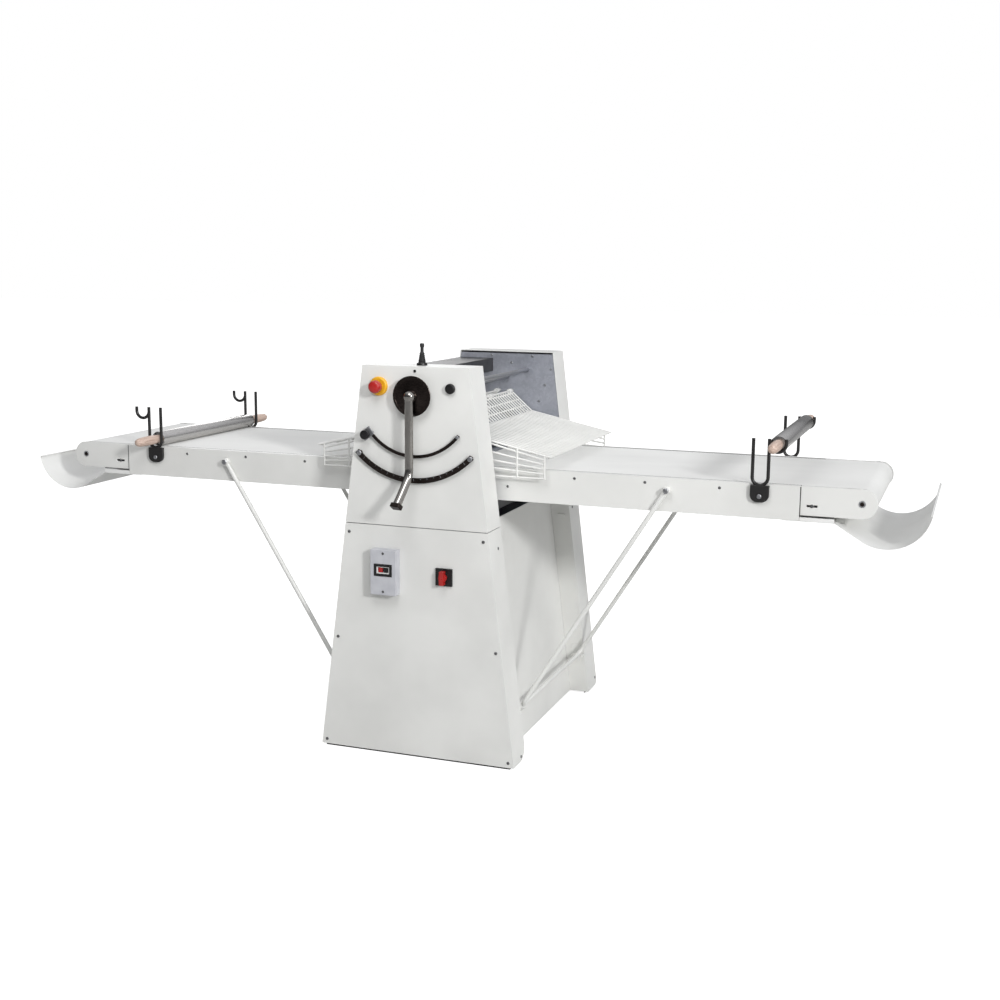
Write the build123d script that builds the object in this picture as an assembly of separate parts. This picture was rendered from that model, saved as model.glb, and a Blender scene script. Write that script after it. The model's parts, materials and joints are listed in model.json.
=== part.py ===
from build123d import *
import math
import os

# Dough sheeter on a floor stand. Millimetres. X runs along the conveyor, +Y is the back,
# +Z is up. The origin is on the floor, at the centre of the four anchor holes.

# Stand and head: a trapezoid seen from the front, made of a front and a rear housing
height = 1270
floor_half_width = 339
top_half_width = 180
half_depth = 482
housing_depth = 120
split_height = 762
sheet = 2.5
foot_height = 8
stand_lip = 70
seam = 1

# Side plates that carry the rollers, just inside the housings
plate_thick = 6
plate_set_back = 4
plate_bottom = 30

# Tables
belt_half_width = 295
rail_half_width = 320
rail_thick = 20
rail_rise = 0.5
rail_depth = 105
rail_end = 1170
table_end = 1350
fold_clearance = 7.5
rail_overhang = 30
roller_axis_z = 902
belt_roller_radius = 39.7
belt_thick = 2.5
belt_clearance = 0.3
belt_axle_radius = 10

# Sheeting rollers
roller_radius = 42
roller_gap = 20
roller_half_length = 297
journal_radius = 15
running = 0.05

# Thickness lever and the racks that it drives
lever_z = 1180
lift_shaft_radius = 12
gear_module = 2.5
pinion_teeth = 18
lever_swing = 45
lever_leg_lean = 10
dial_radius = 63

# Support bails
bail_pivot_x = 770
bail_pivot_z = 908
bail_foot_x = 309
bail_foot_z = 164
bail_half_width = 331.5
bail_radius = 7.5
bail_pin_radius = 5
bail_eye_radius = 12
bail_eye_half = 6

# Guards
guard_half_width = 350
guard_bar = 5
guard_hinge_x = 25
guard_hinge_z = 1126
guard_pin_radius = 5
guard_bend = (105, 1056)
guard_tip = (410, 990)

# Rolling pins and their holders
pin_tube_radius = 25
pin_half_tube = 312
pin_handle_radius = 16.5
pin_half_length = 440
prong_radius = 5.3
inner_prong_x = 1028
middle_prong_x = 1075
outer_prong_x = 1124.5
prong_top = 1082
hook_rod_radius = 5

# Catch pans
pan_radius = 132
pan_thick = 1.5
pan_tip_angle = 350

# Controls
estop_x, estop_z = -122, 1205
jog_x, jog_z = 121, 1206
breaker_x, breaker_z = -97, 615
breaker_size = (88, 146, 34)
switch_x, switch_z = 100, 611
switch_side = 56
joystick_y = -425

# Anchor holes
anchor_x = 270
anchor_y = 425
anchor_radius = 5.5

# Values that follow from the sizes above
taper = (floor_half_width - top_half_width) / height
housing_inner = half_depth - housing_depth
plate_inner = housing_inner + plate_set_back
plate_outer = plate_inner + plate_thick
roller_top = roller_axis_z + roller_radius
upper_axis_z = roller_top + roller_gap + roller_radius
belt_outer_radius = belt_roller_radius + belt_clearance + belt_thick
belt_top = roller_axis_z + belt_outer_radius
rail_top = belt_top + rail_rise
fold_x = roller_radius + belt_outer_radius + fold_clearance
pan_centre = (table_end + 70, roller_axis_z + 2)
pan_start_x = table_end - 77
pitch_radius = gear_module * pinion_teeth / 2
lever_travel = pitch_radius * math.radians(lever_swing)
rail_bottom = rail_top - rail_depth
front = -half_depth

# Tie bars under the tables stay clear of the rails' turning corners, and the tray hangs below them
table_bar_x = 120
table_bar_radius = 10
table_bar_clearance = 3
rail_corner = math.hypot(rail_overhang, roller_axis_z - rail_bottom)
table_bar_reach = rail_corner + table_bar_radius + table_bar_clearance
table_bar_z = roller_axis_z - math.sqrt(table_bar_reach**2 - (table_bar_x - fold_x)**2)
tray_top = table_bar_z - table_bar_radius - table_bar_clearance
tray_depth = 40
tray_sheet = 1.5


def half_width(z):
    return floor_half_width - taper * z


def block(x0, x1, y0, y1, z0, z1):
    centre = Pos((x0 + x1) / 2, (y0 + y1) / 2, (z0 + z1) / 2)
    return centre * Box(abs(x1 - x0), abs(y1 - y0), abs(z1 - z0))


def rod(start, end, radius):
    line = Line(start, end)
    return extrude(Plane(line @ 0, z_dir=line % 0) * Circle(radius), amount=line.length)


def along_y(x, z, radius, y0, y1):
    return rod((x, min(y0, y1), z), (x, max(y0, y1), z), radius)


def along_x(y, z, radius, x0, x1):
    return rod((min(x0, x1), y, z), (max(x0, x1), y, z), radius)


def upright(x, y, radius, z0, z1):
    return rod((x, y, z0), (x, y, z1), radius)


# A flat outline of (x, z) corners, given thickness along Y
def slab_xz(corners, y0, y1):
    face = make_face(Polyline([(x, min(y0, y1), z) for x, z in corners], close=True))
    return extrude(face, amount=abs(y1 - y0), dir=(0, 1, 0))


# A flat outline of (y, z) corners, given thickness along X
def slab_yz(corners, x0, x1):
    face = make_face(Polyline([(min(x0, x1), y, z) for y, z in corners], close=True))
    return extrude(face, amount=abs(x1 - x0), dir=(1, 0, 0))


def trapezoid(z0, z1, y0, y1, inset=0.0):
    low = half_width(z0) - inset
    high = half_width(z1) - inset
    return slab_xz([(-low, z0), (low, z0), (high, z1), (-high, z1)], y0, y1)


# A flat bar between two (x, z) points, of one width across them
def bar_xz(start, end, width, y0, y1):
    run_x = end[0] - start[0]
    run_z = end[1] - start[1]
    length = math.hypot(run_x, run_z)
    side_x = -run_z / length * width / 2
    side_z = run_x / length * width / 2
    corners = [
        (start[0] + side_x, start[1] + side_z),
        (end[0] + side_x, end[1] + side_z),
        (end[0] - side_x, end[1] - side_z),
        (start[0] - side_x, start[1] - side_z),
    ]
    return slab_xz(corners, y0, y1)


# The part of a ring about a Y axis between two angles, measured from +X towards +Z
def ring_sector(x, z, inner, outer, start, stop, y0, y1):
    def at(radius, angle):
        turn = math.radians(angle)
        return (x + radius * math.cos(turn), min(y0, y1), z + radius * math.sin(turn))

    middle = (start + stop) / 2
    edges = [
        ThreePointArc(at(outer, start), at(outer, middle), at(outer, stop)),
        Line(at(outer, stop), at(inner, stop)),
        ThreePointArc(at(inner, stop), at(inner, middle), at(inner, start)),
        Line(at(inner, start), at(outer, start)),
    ]
    return extrude(make_face(edges), amount=abs(y1 - y0), dir=(0, 1, 0))


def both_sides(shape):
    return [shape, mirror(shape, about=Plane.XZ)]


def save(name, *pieces):
    solids = [solid for piece in pieces for solid in piece.solids()]
    shape = solids[0] if len(solids) == 1 else Compound(solids)
    export_step(shape, "parts/" + name + ".step")


# Everything on the right table is made once and mirrored for the left table
def save_pair(name, *pieces):
    save("right_" + name, *pieces)
    save("left_" + name, *[mirror(piece, about=Plane.YZ) for piece in pieces])


# Stand panels: a folded front, two side flanges and a return lip beside the gap
def stand_panel():
    top = split_height - seam
    panel = trapezoid(foot_height, top, -half_depth, -housing_inner)
    room = trapezoid(foot_height, top, -half_depth + sheet, -housing_inner - sheet, sheet)
    mouth = trapezoid(foot_height, top, -housing_inner - sheet, -housing_inner, stand_lip)
    return panel - room - mouth


# A rounded bottom corner of the side flanges, at the housing's back edge
def round_corner(y, z, radius):
    corner = block(-floor_half_width, floor_half_width, y - radius, y, z, z + radius)
    return corner - along_x(y - radius, z + radius, radius, -floor_half_width, floor_half_width)


panel_screw_inset = 17
panel_screw_heights = (733, 380, 24)
screw_clearance_radius = 2.6


def screw_places():
    for z in panel_screw_heights:
        for side in (-1, 1):
            yield side * (half_width(z) - panel_screw_inset), z


def screw_holes(y0, y1):
    return [along_y(x, z, screw_clearance_radius, y0, y1) for x, z in screw_places()]


def build_stand():
    front_corner = 50
    rear_corner = 25
    gland_radius = 10
    panel = stand_panel()
    front_panel = panel - round_corner(-housing_inner, foot_height, front_corner)
    front_panel -= screw_holes(-half_depth - 1, -half_depth + sheet + 1)
    front_panel -= along_y(switch_x, switch_z, 8, front - 1, front + sheet + 1)
    save("front_stand_panel", front_panel)

    rear_panel = mirror(panel, about=Plane.XZ) - round_corner(half_depth, foot_height, rear_corner)
    rear_panel -= screw_holes(half_depth - sheet - 1, half_depth + 1)[:4]
    rear_panel -= along_y(-200, 110, gland_radius, half_depth - sheet - 1, half_depth + 1)
    save("rear_stand_panel", rear_panel)

    # The gland's threaded shank sits in the rear panel, with a nut inside
    gland = along_y(-200, 110, gland_radius, half_depth - 12, half_depth + 4)
    cap = Pos(-200, half_depth, 110) * Rot(90, 0, 0) * extrude(RegularPolygon(15, 6), amount=-14)
    nut = Pos(-200, half_depth - sheet, 110) * Rot(90, 0, 0) * extrude(RegularPolygon(15, 6), amount=5)
    gland = gland + cap + nut
    gland -= along_y(-200, 110, 6.5, half_depth - 20, half_depth + 30)
    save("cable_gland", gland)

    feet = []
    for x in (-anchor_x, anchor_x):
        for y in (-anchor_y, anchor_y):
            pad = upright(x, y, 28, 0, foot_height)
            feet.append(pad - upright(x, y, anchor_radius, -1, foot_height + 1))
    save("feet", *feet)

    # Foot plates inside each housing, joined by two floor members and a cross plate
    inside = half_width(foot_height + 40) - sheet - 2
    plates = []
    for side in (-1, 1):
        outer = side * (half_depth - sheet - 22)
        inner = side * (housing_inner + sheet + 1)
        plates.append(block(-inside, inside, inner, outer, foot_height, foot_height + 6))
    member_x = half_width(foot_height) - stand_lip - 36
    members = []
    for x in (-member_x, member_x):
        member = block(x - 20, x + 20, -plate_inner, plate_inner, foot_height, foot_height + 40)
        member -= block(x - 17, x + 17, -plate_inner, plate_inner, foot_height - 1, foot_height + 37)
        members.append(member)
    base = plates[0] + plates[1]
    for member in members:
        base += member
    for x in (-member_x, member_x):
        for side in (-1, 1):
            tie = block(x - 20, x + 20, side * (plate_inner - 1), side * (plate_outer + 14),
                        foot_height, foot_height + 20)
            base += tie
    for x in (-anchor_x, anchor_x):
        for y in (-anchor_y, anchor_y):
            base -= upright(x, y, anchor_radius, 0, foot_height + 50)
    save("base_frame", base)

    # Slanted cross panels close the gap on both sides, at the lips' inner edges
    top = split_height - 5
    panels = []
    for side in (-1, 1):
        low = half_width(foot_height) - stand_lip
        high = half_width(top) - stand_lip
        corners = [(side * low, foot_height), (side * high, top),
                   (side * (high - sheet), top), (side * (low - sheet), foot_height)]
        panels.append(slab_xz(corners, -housing_inner, housing_inner))
    save("cross_panels", *panels)

    head = 5
    screws = []
    for x, z in screw_places():
        shank = along_y(x, z, screw_clearance_radius - 0.1, front, front + 9)
        screws.append(shank + along_y(x, z, head, front - 2.2, front))
    screws += [mirror(screw, about=Plane.XZ) for screw in screws[:4]]
    save("panel_screws", *screws)

    tray_half = (150, housing_inner - 6)
    room_half = [half - tray_sheet for half in tray_half]
    tray_floor = tray_top - tray_depth
    tray = block(-tray_half[0], tray_half[0], -tray_half[1], tray_half[1], tray_floor, tray_top)
    tray -= block(-room_half[0], room_half[0], -room_half[1], room_half[1],
                  tray_floor + tray_sheet, tray_top + 1)
    save("crumb_tray", tray)


# Ledges on the stand lips, which the bail's bar rests on, and pegs for the folded bail
def build_cradles():
    ledge_top = bail_foot_z - bail_radius - belt_clearance
    ledge_thick = 4
    stop = 3.5
    upper_x, upper_z = 222, 676
    outer = bail_foot_x + bail_radius + 1.8
    cradles = []
    for side in (-1, 1):
        wall = side * housing_inner
        plate = block(270, bail_foot_x - 2, wall, wall - side * 3, 122, 190)
        ledge = block(278, outer + stop, wall, wall - side * 40, ledge_top - ledge_thick, ledge_top)
        lip = block(outer, outer + stop, wall, wall - side * 40, ledge_top - ledge_thick, ledge_top + 3)
        cradles.append(plate + ledge + lip)
        peg = block(upper_x - 14, upper_x + 14, wall, wall - side * 12, upper_z - 3, upper_z + 3)
        cradles.append(peg)
    every = cradles + [mirror(piece, about=Plane.YZ) for piece in cradles]
    save("bail_cradles", *every)


def head_cover():
    bottom = split_height + seam
    cover = trapezoid(bottom, height, -half_depth, -housing_inner)
    room = trapezoid(bottom, height - sheet, -half_depth + sheet, -housing_inner + 1, sheet)
    return cover - room


def build_head():
    cover = head_cover()
    front_cover = cover - along_y(0, lever_z, lift_shaft_radius + 2, front - 1, front + 10)
    front_cover -= along_y(estop_x, estop_z, 11.5, front - 1, front + 10)
    front_cover -= along_y(jog_x, jog_z, 11.5, front - 1, front + 10)
    save("front_head_cover", front_cover)
    save("rear_head_cover", mirror(cover, about=Plane.XZ))

    # Side plates, with bearing holes and the guide slots of the upper roller
    plate = trapezoid(plate_bottom, height - sheet - 6, -plate_outer, -plate_inner, sheet + 1)
    base_clear = half_width(plate_bottom)
    plate -= block(-base_clear, base_clear, -plate_outer - 1, -plate_inner + 1,
                   foot_height, foot_height + 42)
    holes = [(0, roller_axis_z, journal_radius + running),
             (fold_x, roller_axis_z, belt_axle_radius + running),
             (-fold_x, roller_axis_z, belt_axle_radius + running),
             (guard_hinge_x, guard_hinge_z, guard_pin_radius + running),
             (-guard_hinge_x, guard_hinge_z, guard_pin_radius + running),
             (0, lever_z, lift_shaft_radius + running)]
    for x, z, radius in holes:
        plate -= along_y(x, z, radius, -plate_outer - 1, -plate_inner + 1)
    slot = lever_travel + slider_half_height + 2
    plate -= block(-slider_half_width - 0.1, slider_half_width + 0.1, -plate_outer - 1,
                   -plate_inner + 1, upper_axis_z - slot, upper_axis_z + slot)
    save("front_side_plate", plate)
    save("rear_side_plate", mirror(plate, about=Plane.XZ))

    # Top cover over the left half of the gap, with a folded edge at its inner side
    cover_z = 1243
    cover_edge = half_width(cover_z) - sheet
    top = block(-cover_edge, -52, -plate_inner, plate_inner, cover_z - 2, cover_z)
    top += block(-54, -52, -plate_inner, plate_inner, cover_z - 48, cover_z)
    top += block(-cover_edge, -cover_edge + 2, -plate_inner, plate_inner, cover_z - 12, cover_z)
    save("top_cover", top)

    bars = []
    places = [(82, 1204, 8), (-82, 1204, 8), (0, 640, 10)]
    places += [(side * table_bar_x, table_bar_z, table_bar_radius) for side in (-1, 1)]
    for x, z, radius in places:
        bars.append(along_y(x, z, radius, -plate_inner, plate_inner))
    save("tie_bars", *bars)


slider_half_width = 30
slider_half_height = 32


# A rack tooth or pinion tooth, as a plain outline with backlash left on both flanks
tooth_pitch = math.pi * gear_module
tooth_root_half = 0.32 * tooth_pitch
tooth_tip_half = 0.11 * tooth_pitch


def pinion(y0, y1):
    root = pitch_radius - 1.2 * gear_module
    tip = pitch_radius + 0.9 * gear_module
    wheel = along_y(0, lever_z, root, y0, y1)
    tooth = slab_xz([(root - 1, -tooth_root_half), (tip, -tooth_tip_half),
                     (tip, tooth_tip_half), (root - 1, tooth_root_half)], y0, y1)
    for index in range(pinion_teeth):
        turned = Rot(0, index * 360 / pinion_teeth, 0) * tooth
        wheel += Pos(0, 0, lever_z) * turned
    return wheel


def rack(y0, y1):
    root = pitch_radius + 1.2 * gear_module
    tip = pitch_radius - 0.9 * gear_module
    teeth_each_way = math.ceil((lever_travel + 9) / tooth_pitch)
    low = upper_axis_z - 10
    high = lever_z + (teeth_each_way + 1) * tooth_pitch
    bar = block(root, root + 14, y0, y1, low, high)
    for index in range(-teeth_each_way, teeth_each_way):
        z = lever_z + (index + 0.5) * tooth_pitch
        bar += slab_xz([(root + 1, z - tooth_root_half), (tip, z - tooth_tip_half),
                        (tip, z + tooth_tip_half), (root + 1, z + tooth_root_half)], y0, y1)
    return bar


# A tube with an end disc at each end, and lightening holes through the discs
def hollow_roller(x, z, radius, wall, half_length, axle_radius):
    disc = 14
    roller = along_y(x, z, radius, -half_length, half_length)
    roller -= along_y(x, z, radius - wall, -half_length + disc, half_length - disc)
    hole_circle = (axle_radius + radius - wall) / 2
    for index in range(4):
        turn = math.radians(45 + 90 * index)
        hole_x = x + hole_circle * math.cos(turn)
        hole_z = z + hole_circle * math.sin(turn)
        roller -= along_y(hole_x, hole_z, 4, -half_length - 1, half_length + 1)
    return roller


def build_rollers():
    lower = hollow_roller(0, roller_axis_z, roller_radius, 8, roller_half_length, journal_radius)
    lower += along_y(0, roller_axis_z, journal_radius, -plate_outer - 22, plate_outer + 60)
    sprocket_y = (plate_outer + 14, plate_outer + 20)
    lower += along_y(0, roller_axis_z, 27, *sprocket_y)
    save("lower_roller", lower)

    upper = hollow_roller(0, upper_axis_z, roller_radius, 8, roller_half_length, journal_radius)
    upper += along_y(0, upper_axis_z, journal_radius, -plate_outer - 4, plate_outer + 4)
    save("upper_roller", upper)

    # Sliders in the plates' slots hold the upper roller, each with a rack on its outer face
    slider = block(-slider_half_width, slider_half_width, -plate_outer - 6, -plate_inner + 4,
                   upper_axis_z - slider_half_height, upper_axis_z + slider_half_height)
    slider -= along_y(0, upper_axis_z, journal_radius + running, -plate_outer - 7, -plate_inner + 5)
    slider += rack(-plate_outer - 18, -plate_outer - 6)
    save("bearing_sliders", *both_sides(slider))

    # The lever's shaft crosses the head, with a pinion on each rack
    shaft = along_y(0, lever_z, lift_shaft_radius, front - 10, plate_outer + 24)
    shaft += pinion(-plate_outer - 18, -plate_outer - 6)
    shaft += pinion(plate_outer + 6, plate_outer + 18)
    save("lift_shaft", shaft)

    bearings = []
    for x, radius in ((0, journal_radius), (fold_x, belt_axle_radius), (-fold_x, belt_axle_radius)):
        ring = along_y(x, roller_axis_z, radius + 14, -plate_outer - 10, -plate_outer)
        ring -= along_y(x, roller_axis_z, radius + running, -plate_outer - 11, -plate_outer + 1)
        bearings += both_sides(ring)
    save("flange_bearings", *bearings)

    # The chain that drives both table rollers from the lower roller
    chain_inner = 27.6
    chain_outer = 32
    ring = ring_sector(fold_x, roller_axis_z, chain_inner, chain_outer, -90, 90, *sprocket_y)
    loop = ring + mirror(ring, about=Plane.YZ)
    for z in (roller_axis_z + chain_inner, roller_axis_z - chain_outer):
        loop += block(-fold_x, fold_x, *sprocket_y, z, z + chain_outer - chain_inner)
    save("drive_chain", loop)

    # Worm gearmotor on the end of the lower roller, inside the rear housing
    box_y = (plate_outer + 24, plate_outer + 84)
    motor = block(-48, 48, *box_y, roller_axis_z - 62, roller_axis_z + 48)
    motor += upright(0, sum(box_y) / 2, 38, roller_axis_z - 300, roller_axis_z - 61)
    motor += block(-60, 60, plate_outer, plate_outer + 25, roller_axis_z - 62, roller_axis_z - 42)
    motor -= along_y(0, roller_axis_z, journal_radius + running, box_y[0] - 1, box_y[1] + 1)
    save("gearmotor", motor)


# Thickness lever, its dial, the index arcs and the stop that slides along the upper arc
bar_width = 28
bar_thick = 14
lever_back = front - 40
arc_back = front - 9
arc_thick = 3
upper_arc_radius = 190
upper_arc_width = 10
upper_arc_half_angle = 52
lower_arc_radius = 266
lower_arc_width = 17
lower_arc_half_angle = 47


def on_arc(radius, angle):
    turn = math.radians(angle)
    return radius * math.sin(turn), lever_z - radius * math.cos(turn)


def build_lever():
    y0 = front - 28
    dial = along_y(0, lever_z, dial_radius, y0, y0 + 4) + along_y(0, lever_z, 24, y0 + 4, front - 12)
    dial -= along_y(0, lever_z, lift_shaft_radius, y0 - 1, front)
    save("dial", dial)

    y1 = lever_back - bar_thick
    knee_z = 927
    tip_y, tip_z = front - 118, 845
    knee_pivot = knee_z + 5
    arm = block(-bar_width / 2, bar_width / 2, y1, lever_back, knee_pivot, lever_z)
    arm += along_y(0, knee_pivot, bar_width / 2, lever_back, y1)
    arm += along_y(0, lever_z, bar_width / 2, lever_back, y1)
    arm += along_y(0, lever_z, 18, y0, lever_back)
    # The lower leg comes forward and leans to one side about the knee
    leg = slab_yz([(lever_back, knee_z + 4), (tip_y + 11, tip_z), (tip_y, tip_z + 9),
                   (y1, knee_z + 7)], -bar_width / 2, bar_width / 2)
    leg += slab_yz([(tip_y + 14, tip_z + 6), (tip_y + 4, tip_z - 12), (tip_y - 10, tip_z + 2),
                    (tip_y + 1, tip_z + 18)], -bar_width / 2 - 3, bar_width / 2 + 3)
    arm += Pos(0, 0, knee_pivot) * Rot(0, lever_leg_lean, 0) * Pos(0, 0, -knee_pivot) * leg
    arm -= along_y(0, lever_z, lift_shaft_radius, front - 10, front - 40)
    save("lever", arm)

    arcs = []
    rows = ((upper_arc_radius, upper_arc_width, upper_arc_half_angle),
            (lower_arc_radius, lower_arc_width, lower_arc_half_angle))
    for radius, width, half_angle in rows:
        strip = ring_sector(0, lever_z, radius - width / 2, radius + width / 2,
                            270 - half_angle, 270 + half_angle, arc_back, arc_back - arc_thick)
        for angle in (-half_angle + 2, half_angle - 2):
            x, z = on_arc(radius, angle)
            strip += along_y(x, z, width / 2 - 0.5, front, arc_back)
        arcs.append(strip)
    save("index_arcs", *arcs)

    # The stop clamps over the upper arc's strip and passes under the lever
    stop_angle = -51.7
    knob_radius = 15
    knob_x, knob_z = on_arc(206, stop_angle)
    clamp_front = arc_back - arc_thick - belt_clearance
    stop = ring_sector(0, lever_z, 180, 222, 270 + stop_angle - 5, 270 + stop_angle + 5,
                       clamp_front, clamp_front - 5)
    stop += along_y(knob_x, knob_z, knob_radius, clamp_front - 5, clamp_front - 18)
    save("stop_knob", stop)


def build_controls():
    collar = along_y(estop_x, estop_z, 30, front, front - 10)
    collar -= along_y(estop_x, estop_z, 11 + running, front + 1, front - 11)
    save("estop_collar", collar)
    button = along_y(estop_x, estop_z, 11, front + 12, front - 18)
    button += along_y(estop_x, estop_z, 20, front - 18, front - 45)
    save("estop_button", button)

    jog = along_y(jog_x, jog_z, 11, front + 12, front - 6)
    jog += along_y(jog_x, jog_z, 16, front - 6, front - 16)
    save("jog_button", jog)

    wide, tall, deep = breaker_size
    wall = 2.5
    face = front - deep
    box = block(breaker_x - wide / 2, breaker_x + wide / 2, front, face,
                breaker_z - tall / 2, breaker_z + tall / 2)
    box -= block(breaker_x - wide / 2 + wall, breaker_x + wide / 2 - wall, front - wall, face + wall,
                 breaker_z - tall / 2 + wall, breaker_z + tall / 2 - wall)
    window_z = breaker_z + 8
    box -= block(breaker_x - 22, breaker_x + 22, face - 1, face + wall + 1, window_z - 12, window_z + 12)
    box += block(breaker_x - 24, breaker_x + 24, front, face + 14, window_z - 16, window_z + 16)
    save("breaker_box", box)
    for name, x in (("breaker_stop_button", breaker_x - 10), ("breaker_start_button", breaker_x + 10)):
        save(name, block(x - 7, x + 7, face + 10, face + 2, window_z - 8, window_z + 8))

    half = switch_side / 2
    plate = block(switch_x - half, switch_x + half, front, front - 7, switch_z - half, switch_z + half)
    plate += along_y(switch_x, switch_z, 18, front - 7, front - 10)
    plate -= along_y(switch_x, switch_z, 5 + running, front + 1, front - 11)
    save("switch_plate", plate)
    knob = along_y(switch_x, switch_z, 5, front + 6, front - 11)
    grip = block(switch_x - 7, switch_x + 7, front - 10.3, front - 30, switch_z - 22, switch_z + 22)
    grip += along_y(switch_x, switch_z, 13, front - 10.3, front - 22)
    save("switch_knob", knob + grip)

    collar = upright(0, joystick_y, 17, height, height + 8)
    collar -= Pos(0, joystick_y, height + 8) * Sphere(13 + belt_clearance)
    save("joystick_collar", collar)
    boot = Pos(0, joystick_y, height + 8) * Sphere(13)
    boot -= block(-20, 20, joystick_y - 20, joystick_y + 20, height - 10, height + 5)
    cone = Pos(0, joystick_y, height + 24) * Cone(12, 7, 32)
    stick = upright(0, joystick_y, 5.5, height + 38, height + 58)
    knob = upright(0, joystick_y, 7, height + 57, height + 69)
    save("joystick", boot + cone + stick + knob)


# One folding table, drawn at the right of the head
def build_table():
    inner_end = fold_x - rail_overhang
    wall = 2.5
    rail = block(inner_end, rail_end, -rail_half_width, -rail_half_width + rail_thick,
                 rail_bottom, rail_top)
    rail -= block(inner_end - 1, rail_end + 1, -rail_half_width + wall,
                  -rail_half_width + rail_thick + 1, rail_bottom + wall, rail_top - wall)
    # A boss around the fold axle
    hub = along_y(fold_x, roller_axis_z, 24, -rail_half_width + wall, -rail_half_width + rail_thick)
    rail = rail + hub
    rail -= along_y(fold_x, roller_axis_z, belt_axle_radius + running,
                    -rail_half_width - 1, -rail_half_width + rail_thick + 1)
    # A stud with a washer face on each side of the bail's eye
    eye_in = bail_half_width - bail_eye_half
    eye_out = bail_half_width + bail_eye_half
    stud = along_y(bail_pivot_x, bail_pivot_z, bail_pin_radius, -rail_half_width + wall - 1, -eye_out - 1)
    stud += along_y(bail_pivot_x, bail_pivot_z, 9, -rail_half_width, -eye_in + belt_clearance)
    stud += along_y(bail_pivot_x, bail_pivot_z, 10, -eye_out - belt_clearance, -eye_out - 6)
    rail += stud
    save_pair("rails", *both_sides(rail))

    # The slider bed under the belt's top run, with skirts and cross members
    bed_top = belt_top - belt_thick - belt_clearance
    web = rail_half_width - wall
    bracket_start = rail_end - 70
    bracket_face = web - 4
    bed_end = table_end - 50
    bed_start = fold_x + 48
    bed = block(bed_start, bracket_start - 10, -web, web, bed_top - 2, bed_top)
    bed += block(bracket_start - 11, bed_end, -bracket_face + 1, bracket_face - 1, bed_top - 2, bed_top)
    for side in (-1, 1):
        bed += block(bed_start, bracket_start - 10, side * web, side * (web - wall), 868, bed_top)
    for x in (300, 700, 1070):
        bed += block(x - 15, x + 15, -web, web, 872, 890)
        bed -= block(x - 12.5, x + 12.5, -web + wall, web - wall, 871, 887.5)
    save_pair("bed", bed)

    inner = belt_outer_radius - belt_thick
    belt = block(fold_x, table_end, -belt_half_width, belt_half_width,
                 roller_axis_z + inner, roller_axis_z + belt_outer_radius)
    belt += block(fold_x, table_end, -belt_half_width, belt_half_width,
                  roller_axis_z - belt_outer_radius, roller_axis_z - inner)
    ends = ((table_end, -90, 90), (fold_x, 90, 270))
    for x, start, stop in ends:
        belt += ring_sector(x, roller_axis_z, inner, belt_outer_radius, start, stop,
                            -belt_half_width, belt_half_width)
    save_pair("belt", belt)

    drive = hollow_roller(fold_x, roller_axis_z, belt_roller_radius, 4, belt_half_width, belt_axle_radius)
    drive += along_y(fold_x, roller_axis_z, belt_axle_radius, -plate_outer - 12, plate_outer + 22)
    drive += along_y(fold_x, roller_axis_z, 27, plate_outer + 14, plate_outer + 20)
    save_pair("drive_roller", drive)

    end_roller = hollow_roller(table_end, roller_axis_z, belt_roller_radius, 4, belt_half_width,
                               belt_axle_radius)
    end_roller += along_y(table_end, roller_axis_z, belt_axle_radius, -web - 1, web + 1)
    save_pair("end_roller", end_roller)

    # End brackets slide inside the rails and carry the end roller's axle
    end_radius = rail_top - roller_axis_z + 2
    tongue_bottom = max(roller_axis_z - end_radius, rail_bottom + wall + 1)
    bracket = block(bracket_start, rail_end, -web, -bracket_face, tongue_bottom, rail_top - wall)
    bracket += block(rail_end, table_end, -web, -bracket_face, roller_axis_z - end_radius, rail_top)
    bracket += along_y(table_end, roller_axis_z, end_radius, -web, -bracket_face)
    bracket -= block(table_end - 1, table_end + end_radius, -web - 1, -bracket_face + 1,
                     rail_top, rail_top + 10)
    bracket -= along_y(table_end, roller_axis_z, belt_axle_radius + running, -web - 1, -bracket_face + 1)
    bracket -= block(1190, 1222, -web - 1, -bracket_face + 1, 883, 890)
    save_pair("end_brackets", *both_sides(bracket))


def build_pan():
    flat_top = rail_bottom
    cx, cz = pan_centre
    start = (pan_start_x, flat_top - pan_thick)
    away = math.hypot(start[0] - cx, start[1] - cz)
    bearing = math.degrees(math.atan2(start[1] - cz, start[0] - cx)) % 360
    tangent = bearing + math.degrees(math.acos(pan_radius / away))
    turn = math.radians(tangent)
    low = (cx + pan_radius * math.cos(turn), cz + pan_radius * math.sin(turn))
    up = (-pan_thick * math.cos(turn), -pan_thick * math.sin(turn))
    slope = [start, low, (low[0] + up[0], low[1] + up[1]), (start[0] + up[0], start[1] + up[1])]
    wide = rail_half_width
    pan = slab_xz(slope, -wide, wide)
    pan += block(rail_end - 50, pan_start_x + 0.3, -wide, wide, flat_top - pan_thick, flat_top)
    pan += ring_sector(cx, cz, pan_radius - pan_thick, pan_radius, tangent, pan_tip_angle, -wide, wide)
    for side in (-1, 1):
        pan += block(rail_end + 1, pan_start_x, side * wide, side * (wide - pan_thick),
                     flat_top - pan_thick, flat_top + 12)
    save_pair("catch_pan", pan)


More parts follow.
